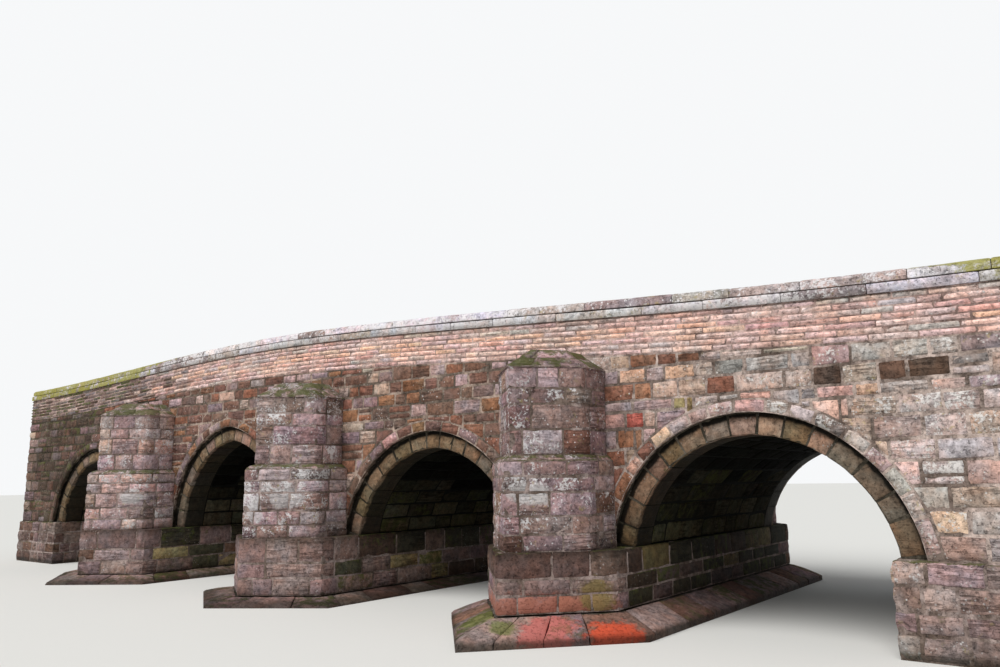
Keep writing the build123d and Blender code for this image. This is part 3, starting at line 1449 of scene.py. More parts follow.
@dataclass
class Cutwaters(Walls):
    """Stones of the six cutwaters: two stages, the ledge between them and the cap."""

    lower: Floats = (1.05, 1.27, 1.51, 1.82, 2.03, 2.23)
    upper: Floats = (2.31, 2.65, 2.99, 3.21, 3.50)
    bedding: Bedding = Bedding(shortest=0.28, longest=0.72, joint=0.008, relief=0.11, slip=0.004)
    slabs: Bedding = Bedding(cut=Cut.WORN, shortest=0.4, longest=0.8, joint=0.008, edge=0.022)
    quarries: tuple[Quarry, Quarry, Quarry] = (
        Quarry(
            tones=palette(MAUVE=0.46, PINK=0.32, HEATHER=0.18, PURPLE=0.04),
            lichen=(0.6, 1.0), moss=(0.0, 0.2), damp=(0.0, 0.15), shade=0.14,
        ),
        Quarry(
            tones=palette(MAUVE=0.34, HEATHER=0.34, PURPLE=0.16, TAUPE=0.16),
            lichen=(0.65, 1.05), moss=(0.0, 0.15), damp=(0.0, 0.15), shade=0.14,
        ),
        Quarry(
            tones=palette(PURPLE=0.42, TAUPE=0.24, HEATHER=0.20, RUSSET=0.08, MAUVE=0.06),
            lichen=(0.5, 0.95), moss=(0.0, 0.15), damp=(0.0, 0.2), shade=0.18,
        ),
    )

    def build(self, material: Material) -> None:
        """Lay and finish the stones of the cutwaters.

        Args:
            material: Material of the stones.
        """
        s = self.shape
        for side in Side:
            for index, setback in enumerate(s.setbacks):
                stones = Masonry(self.yard, self.bedding, 500 + 10 * index + side.value)
                base = PlanWall(s.cutwater_plan(index, side))
                top = PlanWall(s.cutwater_plan(index, side, -setback))
                for wall, lines in ((base, self.lower), (top, self.upper)):
                    old: list[float] = []
                    for low, high in pairwise(lines):
                        cells, old = stones.course(wall, low, high, old)
                        for cell in cells:
                            stones.lay(wall, cell, self.quarries[index].draw(stones.dice))
                stones.bedding = self.slabs
                eaves = PlanWall(s.cutwater_plan(index, side, s.cap_over - setback))
                apex = PlanWall(s.cutwater_plan(index, side, s.cap_over - setback - s.cap_inset))
                ledge = SlopeBand(base, top, s.stage, s.stage_top)
                self.slope(stones, self.quarries[index], ledge, 1)
                self.slope(stones, self.quarries[index], SlopeBand(eaves, apex, s.cap, s.cap_top), 2)
                stones.finish(f"cutwater_stones_{side.word}_{index + 1}", material, "pier_stone")

    @staticmethod
    def slope(stones: Masonry, quarry: Quarry, band: SlopeBand, rows: int) -> None:
        """Lay mossy slabs on a slope.

        Args:
            stones: Where they are gathered.
            quarry: What they are drawn from.
            band: The slope.
            rows: Number of rows of slabs.
        """
        old: list[float] = []
        for row in range(rows):
            low, high = band.slant * row / rows, band.slant * (row + 1) / rows
            cells, old = stones.course(band.lower, low, high, old)
            for cell in cells:
                look = quarry.draw(stones.dice, moss=stones.dice.uniform(0.15, 0.55), damp=0.15)
                stones.lay(band, cell, look)


@dataclass
class Rings(Walls):
    """Voussoirs of the eight arch rings."""

    bedding: Bedding = Bedding(joint=0.007, edge=0.018, slip=0.003, depth=0.485, shortest=0.25, longest=0.42)
    quarry: Quarry = Quarry(
        tones=palette(STRAW=0.60, SAND=0.20, BUFF=0.20),
        lichen=(0.0, 0.4), moss=(0.0, 0.35), damp=(0.0, 0.3), lean=0.003, shade=0.10,
    )

    def build(self, material: Material) -> None:
        """Lay and finish the voussoirs.

        Args:
            material: Material of the stones.
        """
        s = self.shape
        for side in Side:
            for bay in range(len(s.spans)):
                arch = s.arch(bay)
                stones = Masonry(self.yard, self.bedding, 600 + 10 * bay + side.value)
                face = RingFace(side, s.ring_face, arch)
                joints = stones.joints(0.0, 2 * arch.run)
                for s0, s1 in pairwise(joints):
                    along = (s0 + s1) / 4 / arch.run
                    high, left = math.sin(math.pi * along), 1 - along
                    damp = 1.60 - 1.25 * high + 0.3 * left + stones.dice.uniform(0, 0.12)
                    # Painted shadow under the wall's overhang, with some dirt, deeper towards the left.
                    black = 1.9 + 0.9 * left + stones.dice.uniform(-0.15, 0.25)
                    # Painted shade at the top and the foot of each voussoir.
                    look = self.quarry.draw(stones.dice, damp=damp, head=1.2, foot=0.25, black=black)
                    stones.lay(face, Cell.box(s0, s1, -0.012, s.ring + 0.004), look)
                stones.finish(f"voussoirs_{side.word}_{bay + 1}", material, "arch_stone")


@dataclass
class Barrels(Walls):
    """Stones of the four vaults' undersides, wet and darkened almost to black with painted shade, deepest at
    the crowns.
    """

    bedding: Bedding = Bedding(shortest=0.4, longest=0.85)
    quarry: Quarry = Quarry(
        tones=palette(SOOT=1.0),
        lichen=(0.0, 0.05), moss=(0.0, 0.2), damp=(0.2, 0.6), proud=(0.003, 0.018), lean=0.012, shade=0.35,
    )

    def build(self, material: Material) -> None:
        """Lay and finish the stones of the vaults.

        Args:
            material: Material of the stones.
        """
        s = self.shape
        reach = s.ring_face - s.ring_depth
        for bay in range(len(s.spans)):
            arch = s.arch(bay)
            stones = Masonry(self.yard, self.bedding, 700 + bay)
            face = BarrelFace(arch)
            rows = 2 * round(arch.run / 0.29)
            old: list[float] = []
            for row in range(rows):
                low, high = 2 * arch.run * row / rows, 2 * arch.run * (row + 1) / rows
                old = stones.joints(-reach, reach, old=old)
                for y0, y1 in pairwise(old):
                    # Painted shade: darker from the springings to the crown.
                    level = min(row, rows - 1 - row) + stones.dice.uniform(-0.8, 0.8)
                    tone = Tone.STAINED if level < 1.2 else Tone.WET if level < 3.2 else Tone.SOOT
                    moss = stones.dice.uniform(0, 0.8) if level < 3 else 0.0
                    look = self.quarry.draw(stones.dice, tone, moss=moss)
                    stones.lay(face, Cell.box(y0, y1, low, high), look)
            stones.finish(f"barrel_stones_{bay + 1}", material, "vault_stone")


@dataclass
class Parapets(Walls):
    """Thin rock-faced courses of the two parapets, which follow the road's hump.

    Attributes:
        courses: How many there are.
        darkening: How far left of the middle the stones start to darken with painted shade and moss, and over
            what length.
    """

    courses: int = 7
    darkening: Point = (3.0, 4.5)
    bedding: Bedding = Bedding(
        cut=Cut.ROCK_FACED, joint=0.006, edge=0.012, slip=0.003, relief=0.085, shortest=0.24, longest=0.62
    )
    quarry: Quarry = Quarry(
        tones=palette(BLUSH=0.58, PINK=0.26, PALE=0.16),
        lichen=(0.0, 0.6), moss=(0.0, 0.05), damp=(0.0, 0.08), proud=(0.002, 0.010), shade=0.10,
    )
    middle: Quarry = Quarry(
        tones=palette(PEACH=0.50, BLUSH=0.35, ROSE=0.15),
        lichen=(0.0, 0.35), moss=(0.0, 0.05), damp=(0.0, 0.05), proud=(0.002, 0.010), shade=0.10,
    )

    def build(self, material: Material) -> None:
        """Lay and finish the stones of both parapets.

        Args:
            material: Material of the stones.
        """
        s = self.shape
        for side in Side:
            stones = Masonry(self.yard, self.bedding, 800 + side.value)
            ys = sorted((side.value * s.half_width, side.value * (s.half_width - s.wall)))
            x = s.half_length
            loop = PlanWall([(-x, ys[0]), (x, ys[0]), (x, ys[1]), (-x, ys[1])], closed=True, rise=s.bed)
            old: list[float] = []
            for row in range(self.courses):
                low, high = (-s.parapet + s.parapet * (row + k) / self.courses for k in (0, 1))
                cells, old = stones.course(loop, low, high, old, stones.dice.uniform(0.3, 0.9))
                for cell in cells:
                    stones.lay(loop, cell, self.weathered(stones.dice, loop, cell, row))
            turn, inner = side.value * x, side.value * (s.half_width - s.wall)
            foot = PlanWall([(-turn, inner), (turn, inner)], rise=s.bed)
            for cell in stones.course(foot, -s.road_drop + 0.005, -s.parapet)[0]:
                stones.lay(foot, cell, self.quarry.draw(stones.dice, damp=0.3, moss=0.3))
            stones.finish(f"parapet_stones_{side.word}", material, "parapet_stone")

    def weathered(self, dice: random.Random, loop: PlanWall, cell: Cell, row: int) -> Look:
        """Choose a look that darkens towards the left end, with painted shade and moss.

        Args:
            dice: Source of the choices.
            loop: The line that the parapet stands on.
            cell: The stone's room.
            row: Number of the course from below.

        Returns:
            The look.
        """
        start, run = self.darkening
        shade = max(0.0, min(1.0, (-loop.plan_at(cell.middle[0])[0] - start) / run))
        # Painted shadow under the coping darkens the head of the top course.
        head = 1.3 if row == self.courses - 1 else 0.0
        if dice.random() < 0.95 * shade:
            tone = dice.choice((Tone.GREY, Tone.TAUPE, Tone.MAUVE, Tone.BROWN))
            moss = shade * dice.random()
            return self.quarry.draw(dice, tone, moss=moss, damp=0.5 * shade, head=head)
        quarry = self.middle if row in (2, 3, 4) and dice.random() < 0.75 else self.quarry
        return quarry.draw(dice, moss=0.4 * shade * dice.random(), damp=0.25 * shade, head=head)


@dataclass(frozen=True)
class Tier:
    """One course of coping stones.

    Attributes:
        reach: Half its width.
        low: Height of its bed over the parapet.
        high: Height of its top over the parapet.
        bevel: Width of its sloping arrises, 0 for none.
    """

    reach: float
    low: float
    high: float
    bevel: float = 0.0


@dataclass
class Copings(Walls):
    """Coping stones of the two parapets, in two tiers.

    Attributes:
        line: Height of the open joint between the tiers.
        mossy: X where the moss of the right end starts, on the lower and the upper tier.
        greening: How far left of the middle the left end's moss starts, and over what length it grows.
    """

    line: float = 0.018
    mossy: Point = (10.85, 10.45)
    greening: Point = (4.3, 2.7)
    bedding: Bedding = Bedding(joint=0.008, shortest=0.8, longest=1.45)
    quarry: Quarry = Quarry(
        tones=palette(ASH=0.62, SILVER=0.28, GREY=0.10),
        lichen=(0.85, 1.1), moss=(0.0, 0.1), damp=(0.0, 0.05), shade=0.10,
    )

    def tiers(self) -> tuple[Tier, Tier]:
        """The lower and the upper tier.

        Returns:
            The two tiers.
        """
        s = self.shape
        reach = s.wall / 2 + s.coping_over
        below, above = s.coping_tier - self.line / 2, s.coping_tier + self.line / 2
        upper = Tier(reach - s.coping_setback, above, s.coping_height, s.coping_bevel)
        return Tier(reach, 0.0, below), upper

    @staticmethod
    def model(tier: Tier, seed: int) -> StoneForm:
        """Model one coping stone from a cube: arrises drawn in and surface roughened.

        Args:
            tier: The course that it is for.
            seed: Which of the stones this is.

        Returns:
            The stone, one long in X, from -1 to 1 across in Y and one high in Z.
        """
        stone = primitive(
            bpy.ops.mesh.primitive_cube_add, "coping_stone", size=1, location=(0.5, 0, 0.5), scale=(1, 2, 1)
        )
        bpy.ops.object.transform_apply(location=True, rotation=True, scale=True)
        mesh = stone.data
        share = tier.bevel / (tier.high - tier.low)
        levels = ((0.12, 1.0), (1 - share, 1.0), (1 - 0.35 * share, 1 - 0.4 * tier.bevel / tier.reach))
        cuts = [((0, 0, z), (0, 0, 1)) for z, _ in levels[: 3 if tier.bevel else 1]]
        cuts += [((x, 0, 0), (1, 0, 0)) for x in (0.03, 0.2, 0.4, 0.6, 0.8, 0.97)]
        for place, normal in cuts + [((0, y, 0), (0, 1, 0)) for y in (-0.5, 0.5)]:
            with edit_mode(whole=True):
                bpy.ops.mesh.bisect(plane_co=place, plane_no=normal)
        narrowed = [(0.999, 1 - tier.bevel / tier.reach)] + [(z, y) for z, y in levels[2:] if tier.bevel]
        for z, y in narrowed:
            pick_all(mesh, lambda co, z=z: abs(co[2] - z) < 0.01 and abs(co[1]) > 0.9)
            with edit_mode():
                bpy.ops.transform.resize(value=(1, y, 1))
        pick_all(mesh, lambda co: not 0.02 < co[0] < 0.98)
        with edit_mode():
            bpy.ops.transform.resize(value=(1, 0.965, 0.95))
        pick_all(mesh, lambda co: co[2] > 0.05)
        along = np.array([v.co.x for v in mesh.vertices])
        with edit_mode():
            bpy.ops.transform.vertex_random(offset=0.045, uniform=0.0, normal=0.0, seed=seed)
            face_outwards()
        points = np.array([v.co for v in mesh.vertices])
        points[:, 0] = along + 0.15 * (points[:, 0] - along)
        return StoneForm.of(stone, points, np.zeros(len(points)))

    def build(self, material: Material, mortar: Material) -> None:
        """Lay and finish the coping stones and their bed.

        Args:
            material: Material of the stones.
            mortar: Material of the bed and joints.
        """
        end = self.shape.half_length + self.shape.coping_over
        forms = [[self.model(tier, seed) for seed in range(1, 7)] for tier in self.tiers()]
        for side in Side:
            stones = Masonry(self.yard, self.bedding, 900 + side.value)
            old: list[float] = []
            for tier, shapes in zip(self.tiers(), forms):
                old = stones.joints(-end, end, old=old)
                for x0, x1 in pairwise(old):
                    self.place(stones, stones.dice.choice(shapes), side, tier, (x0, x1))
            piece = stones.finish(f"coping_stones_{side.word}", material, "coping_stone")
            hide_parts(f"coping_{side.word}")
            self.bed(side, mortar)

    def place(self, stones: Masonry, form: StoneForm, side: Side, tier: Tier, ends: Point) -> None:
        """Copy one coping stone to its place between two joints.

        Args:
            stones: Where it is gathered.
            form: The modelled stone.
            side: Face of the bridge.
            tier: The course that it lies in.
            ends: X of its two ends.
        """
        s, dice = self.shape, stones.dice
        gap = self.bedding.joint / 2
        x = ends[0] + gap + np.clip(form.points[:, 0], 0, 1) * (ends[1] - ends[0] - 2 * gap)
        across = np.clip(form.points[:, 1], -1, 1) * (tier.reach - dice.uniform(0.0, 0.005))
        y = side.value * (s.half_width - s.wall / 2) + side.value * across
        up = np.clip(form.points[:, 2], 0, 1) * (tier.high - tier.low - dice.uniform(0.0, 0.008))
        look = self.quarry.draw(dice, moss=dice.uniform(0, 0.15))
        far = self.mossy[1 if tier.low else 0]
        near, run = self.greening
        grown = np.maximum(0.95 * np.clip((-x - near) / run, 0, 1), np.clip((x - far) / 0.3, 0, 1))
        stones.gather(form, np.column_stack([x, y, s.bed(x) + tier.low + up]), side is Side.FRONT)
        # Painted shadow: the bottom of each tier is darker, in the joint between the tiers and under the
        # coping.
        under = 0.7 * (form.points[:, 2] < (0.05 if tier.low else 0.3))
        stones.colour(look, look.damp + under, np.zeros(len(up)), np.maximum(grown, look.moss))

    def bed(self, side: Side, mortar: Material) -> None:
        """Make the strip of mortar inside the coping that fills its joints.

        Args:
            side: Face of the bridge.
            mortar: Its material.
        """
        s = self.shape
        strip = primitive(
            bpy.ops.mesh.primitive_grid_add, f"coping_bed_{side.word}",
            x_subdivisions=100, y_subdivisions=1, size=1, location=(0, 0, 0),
        )
        with edit_mode(whole=True):
            bpy.ops.mesh.extrude_region_move(TRANSFORM_OT_translate={"value": (0, 0, 1)})
            face_outwards()
        for vertex in strip.data.vertices:
            x = vertex.co.x * 2 * (s.half_length - 0.05)
            low = vertex.co.z < 0.5
            height = 0.0 if low else s.coping_height - 0.05
            y = side.value * (s.half_width - s.wall / 2) + vertex.co.y * (s.wall if low else s.wall - 0.13)
            vertex.co = (x, y, float(s.bed(x)) + height)
        settle(strip, mortar)


@dataclass
class Aprons(Walls):
    """Large worn slabs of the three aprons, each down to the ground, round a core."""

    bedding: Bedding = Bedding(
        cut=Cut.WORN, joint=0.006, edge=0.045, slip=0.003, relief=0.12, depth=0.2, shortest=0.55, longest=1.15
    )
    quarry: Quarry = Quarry(
        tones=palette(TAUPE=0.6, PURPLE=0.2, RUSSET=0.2),
        lichen=(0.0, 0.15), moss=(0.0, 0.25), damp=(0.0, 0.2), proud=(-0.004, 0.003), lean=0.004, shade=0.10,
    )

    def build(self, material: Material, mortar: Material) -> None:
        """Lay and finish the slabs and cores of the aprons.

        Args:
            material: Material of the stones.
            mortar: Material of the mortar.
        """
        s = self.shape
        for index in range(len(s.piers)):
            outer = PlanWall(s.pier_plan(index, s.apron_margin), closed=True)
            inner = PlanWall(s.pier_plan(index, 0.02), closed=True)
            band = FootingBand(outer, inner, s.apron_edges[index], s.apron_tops[index])
            stones = Masonry(self.yard, self.bedding, 950 + index)
            for cell in stones.course(outer, 0.0, band.slant, start=0.45)[0]:
                stones.lay(band, cell, self.quarry.draw(stones.dice))
            piece = stones.finish(f"apron_slabs_{index + 1}", material, "apron_stone")
            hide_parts(f"apron_{index + 1}")
            self.core(index, mortar)

    def core(self, index: int, mortar: Material) -> None:
        """Make the body inside the slabs from a six-sided cylinder.

        Args:
            index: Which pier it goes round.
            mortar: Its material.
        """
        s = self.shape
        core = primitive(
            bpy.ops.mesh.primitive_cylinder_add, f"apron_core_{index + 1}", vertices=6, radius=1, depth=2
        )
        foot = (s.pier_plan(index, s.apron_margin - 0.03), 0.0)
        head = (s.pier_plan(index, -0.01), s.apron_tops[index] - 0.02)
        turned = sorted(core.data.vertices, key=lambda v: math.atan2(v.co.x, -v.co.y) % (2 * math.pi))
        rings = ([v for v in turned if v.co.z < 0], [v for v in turned if v.co.z > 0])
        for (plan, z), ring in zip((foot, head), rings):
            for vertex, (x, y) in zip(ring, plan):
                vertex.co = (x, y, z)
        with edit_mode():
            face_outwards()
        settle(core, mortar)


# Finishes


class Sheet:
    """Adds and joins nodes in one tree."""

    def __init__(self, tree: NodeTree) -> None:
        """Start on a tree."""
        self.tree = tree

    def add(self, kind: str, inputs: dict | None = None, **settings: object) -> "Value":
        """Add a node.

        Args:
            kind: Its type.
            inputs: Values of its inputs, or outputs to join to them, by name or number.
            settings: Its settings.

        Returns:
            Its first output.
        """
        node = self.tree.nodes.new(kind)
        for name, value in settings.items():
            setattr(node, name, value)
        for name, value in (inputs or {}).items():
            if isinstance(value, Value):
                self.join(value, node.inputs[name])
            else:
                node.inputs[name].default_value = value
        return Value(self, node.outputs[0])

    def use(self, group: NodeTree, **inputs: object) -> "Value":
        """Add a group, with its inputs by name."""
        return self.add("ShaderNodeGroup", inputs, node_tree=group)

    def join(self, start: "Value", end: Socket) -> None:
        """Join an output to an input."""
        self.tree.links.new(start.socket, end)

    def calc(self, operation: str, *values: object) -> "Value":
        """Work out a number from numbers or outputs."""
        return self.add("ShaderNodeMath", dict(enumerate(values)), operation=operation)

    def vector(self, operation: str, *values: object) -> "Value":
        """Work out a vector from vectors."""
        return self.add("ShaderNodeVectorMath", dict(enumerate(values)), operation=operation)

    def mix(self, share: object, a: object, b: object, blend: str = "MIX") -> "Value":
        """Mix two colours."""
        a, b = ((*colour, 1) if isinstance(colour, tuple) else colour for colour in (a, b))
        return self.add("ShaderNodeMix", {0: share, 6: a, 7: b}, data_type="RGBA", blend_type=blend)[2]


class Value:
    """What a node gives out, on which more nodes are built.

    Attributes:
        sheet: The sheet that the node is on.
        socket: The node's output.
    """

    def __init__(self, sheet: Sheet, socket: Socket) -> None:
        """Note the sheet and the output."""
        self.sheet, self.socket = sheet, socket

    def __getitem__(self, name: str | int) -> "Value":
        """Another output of the same node."""
        return Value(self.sheet, self.socket.node.outputs[name])

    def __add__(self, other: object) -> "Value":
        """Add a number."""
        return self.sheet.calc("ADD", self, other)

    def __sub__(self, other: object) -> "Value":
        """Take a number from this one."""
        return self.sheet.calc("SUBTRACT", self, other)

    def __rsub__(self, other: object) -> "Value":
        """Take this number from another."""
        return self.sheet.calc("SUBTRACT", other, self)

    def __mul__(self, other: object) -> "Value":
        """Multiply by a number."""
        return self.sheet.calc("MULTIPLY", self, other)

    def __abs__(self) -> "Value":
        """Drop the sign."""
        return self.sheet.calc("ABSOLUTE", self)

    def axis(self, number: int) -> "Value":
        """One part of this vector."""
        return self.sheet.add("ShaderNodeSeparateXYZ", {0: self})[number]

    def ramp(self, low: float, high: float, start: float = 0.0, end: float = 1.0) -> "Value":
        """Map a range smoothly to another and hold its ends."""
        inputs = {"Value": self, "From Min": low, "From Max": high, "To Min": start, "To Max": end}
        return self.sheet.add("ShaderNodeMapRange", inputs, interpolation_type="SMOOTHSTEP")

    def noise(self, scale: float, detail: float = 3.0, rough: float = 0.55, bend: float = 0.0) -> "Value":
        """Noise at this place."""
        inputs = {"Vector": self, "Scale": scale, "Detail": detail, "Roughness": rough, "Distortion": bend}
        return self.sheet.add("ShaderNodeTexNoise", inputs)

    def ragged(self, size: float, scale: float, detail: float = 3.0, rough: float = 0.55) -> "Value":
        """Noise at this place, half of a size to both sides of 0."""
        return (self.noise(scale, detail, rough) - 0.5) * size

    def mix(self, share: object, other: object) -> "Value":
        """Lay another colour over a share of this one."""
        return self.sheet.mix(share, self, other)

    def times(self, other: object) -> "Value":
        """Multiply this colour by another."""
        return self.sheet.mix(1.0, self, other, "MULTIPLY")

    def shaded(self, share: object, tint: Colour) -> "Value":
        """Multiply a share of this colour by another."""
        return self.mix(share, self.times(tint))


class Group(Sheet):
    """A node group that several finishes share."""

    def __init__(self, name: str, needs: Sequence[str], makes: Sequence[str]) -> None:
        """Start a group.

        Args:
            name: Its name.
            needs: Names of its inputs.
            makes: Names of its outputs.
        """
        super().__init__(bpy.data.node_groups.new(name, "ShaderNodeTree"))
        for way, labels in (("INPUT", needs), ("OUTPUT", makes)):
            for label in labels:
                kind = "Vector" if label in ("Place", "Normal") else "Float"
                self.tree.interface.new_socket(label, in_out=way, socket_type=f"NodeSocket{kind}")
        self.given = Value(self, self.tree.nodes.new("NodeGroupInput").outputs[0])
        self.ends = self.tree.nodes.new("NodeGroupOutput").inputs

    def give(self, **made: Value) -> NodeTree:
        """Join the results to the group's outputs by name, and return its tree.

        Args:
            made: The results.

        Returns:
            The tree.
        """
        for name, value in made.items():
            self.join(value, self.ends[name])
        return self.tree


class Coat(Sheet):
    """The nodes of one material."""

    def __init__(self, name: str) -> None:
        """Start a material."""
        self.material = bpy.data.materials.new(name)
        self.material.use_nodes = True
        super().__init__(self.material.node_tree)
        self.shader = self.tree.nodes["Principled BSDF"].inputs

    def spot(self) -> Value:
        """Place on the surface, in the bridge's frame."""
        return self.add("ShaderNodeTexCoord")["Object"]

    def normal(self) -> Value:
        """Way that the surface faces."""
        return self.add("ShaderNodeNewGeometry")["Normal"]

    def put(self, **values: object) -> None:
        """Set inputs of the shader, with _ for each space in their names."""
        for name, value in values.items():
            self.shader[name.replace("_", " ")].default_value = value

    def cover(self, colour: Value, height: Value, depth: float, strength: float = 1.0) -> Material:
        """Join the colour and the relief to the shader.

        Args:
            colour: The surface's colour.
            height: Its relief.
            depth: Depth of the relief in metres.
            strength: Strength of the relief.

        Returns:
            The material.
        """
        self.join(colour, self.shader["Base Color"])
        relief = {"Height": height, "Distance": depth, "Strength": strength}
        self.join(self.add("ShaderNodeBump", relief), self.shader["Normal"])
        return self.material


class Effects:
    """Weathering that several finishes share, each as a node group."""

    def __init__(self) -> None:
        """Build the groups."""
        self.grain = self._grain()
        self.strata = self._strata()
        self.grime = self._grime()
        self.lichen = self._lichen()
        self.moss = self._moss()

    @staticmethod
    def _grain() -> NodeTree:
        """Sandy grain, blotches, pits and flakes.

        Returns:
            The group.
        """
        group = Group("sand_grain", ["Place"], ["Shade", "Height"])
        place = group.given["Place"]
        fine = place.noise(60.0, 3.0, 0.65)
        blotch = place.noise(11.0, 5.0, 0.68, 0.2)
        holes = place.noise(24.0, 4.0, 0.7).ramp(0.36, 0.44)
        coarse = blotch.ramp(0.3, 0.7, -0.40, 0.34)
        shade = fine.ramp(0.3, 0.7, -0.15, 0.15) + coarse + (holes - 1.0) * 0.30
        height = fine * 0.3 + holes * 0.7 + blotch * 1.5
        return group.give(Shade=shade + 1.06, Height=height)

    @staticmethod
    def _strata() -> NodeTree:
        """Thin beds that weather out of a stone.

        Returns:
            The group.
        """
        group = Group("stone_beds", ["Place"], ["Beds"])
        flat = group.add("ShaderNodeMapping", {"Vector": group.given["Place"], "Scale": (2.4, 2.4, 24.0)})
        return group.give(Beds=flat.noise(1.0, 4.0, 0.65, 0.25).ramp(0.38, 0.50))

    @staticmethod
    def _grime() -> NodeTree:
        """Dark patches and streaks that run over stones and joints alike.

        Returns:
            The group.
        """
        group = Group("dark_grime", ["Place"], ["Grime", "Warm"])
        place = group.given["Place"]
        patch = place.noise(1.3, 6.0, 0.7, 0.5)
        streak = group.add("ShaderNodeMapping", {"Vector": place, "Scale": (5.0, 5.0, 0.9)})
        total = patch + streak.ragged(0.5, 1.0, 4.0, 0.6)
        return group.give(Grime=total.ramp(0.50, 0.68), Warm=place.noise(3.2, 3.0, 0.6))

    @staticmethod
    def _lichen() -> NodeTree:
        """Patches and dots of pale crust with ragged edges.

        Returns:
            The group.
        """
        group = Group("lichen_crust", ["Place", "Amount"], ["Crust", "Specks"])
        place, amount = group.given["Place"], group.given["Amount"]
        total = place.noise(3.6, 6.0, 0.74, 0.5) + place.ragged(0.75, 26.0, 4.0, 0.7)
        level = 0.84 - amount * 0.34
        over = total - level
        dots = group.add("ShaderNodeTexVoronoi", {"Vector": place, "Scale": 17.0}).ramp(0.12, 0.26, 1.0, 0.0)
        some = place.noise(4.0, 3.0).ramp(0.44, 0.60)
        dots = dots * some * amount.ramp(0.05, 0.5)
        crust = group.calc("MAXIMUM", over.ramp(0.0, 0.08), dots)
        yellow = place.noise(9.0, 4.0, 0.7).ramp(0.60, 0.68)
        return group.give(Crust=crust, Specks=yellow * amount.ramp(0.2, 0.9))

    @staticmethod
    def _moss() -> NodeTree:
        """Moss that prefers tops and ledges.

        Returns:
            The group.
        """
        group = Group("moss_film", ["Place", "Amount", "Normal"], ["Moss", "Tuft"])
        place, amount = group.given["Place"], group.given["Amount"]
        up = group.given["Normal"].axis(2).ramp(0.1, 0.9, 0.0, 0.25)
        patch, tuft = place.noise(6.0, 6.0, 0.7, 0.3), place.noise(70.0, 2.0, 0.7)
        wish = amount * 0.42 + up
        reach = patch + wish - tuft * 0.12
        present = amount.ramp(0.02, 0.2)
        return group.give(Moss=reach.ramp(0.70, 0.86) * present, Tuft=tuft)


@dataclass(frozen=True)
class Stain:
    """A patch of another colour at one place.

    Attributes:
        centre: Its middle.
        reach: How far it spreads along X, Y and Z.
        colour: Its colour.
        strength: How much it covers.
    """

    centre: tuple[float, float, float]
    reach: tuple[float, float, float]
    colour: Colour
    strength: float = 0.8

    def over(self, spot: Value, colour: Value) -> Value:
        """Lay the patch over a colour.

        Args:
            spot: Place on the surface.
            colour: Colour under the patch.

        Returns:
            The joined colour.
        """
        sheet = spot.sheet
        inside = sheet.vector("DIVIDE", sheet.vector("SUBTRACT", spot, self.centre), self.reach)
        distance = sheet.vector("LENGTH", inside)["Value"]
        mask = (distance + spot.ragged(1.4, 7.0, 5.0, 0.7)).ramp(0.65, 1.0, self.strength, 0.0)
        return colour.mix(mask, self.colour)


def inner(spot: Value, colour: Value, inside: float) -> Value:
    """Paint shade over the surfaces under an arch.

    Args:
        spot: Place on the surface.
        colour: Colour of the dry stone.
        inside: Distance from the bridge's middle where the painted shade starts, 0 for none.

    Returns:
        The joined colour.
    """
    if not inside:
        return colour
    across, ragged = spot.axis(1), spot.ragged(0.2, 5.0)
    # Painted shade: nearly black behind the given distance, with a ragged edge.
    under = (abs(across) + ragged).ramp(inside - 0.06, inside, 0.94, 0.0)
    return colour.shaded(under, (0.06, 0.066, 0.045))


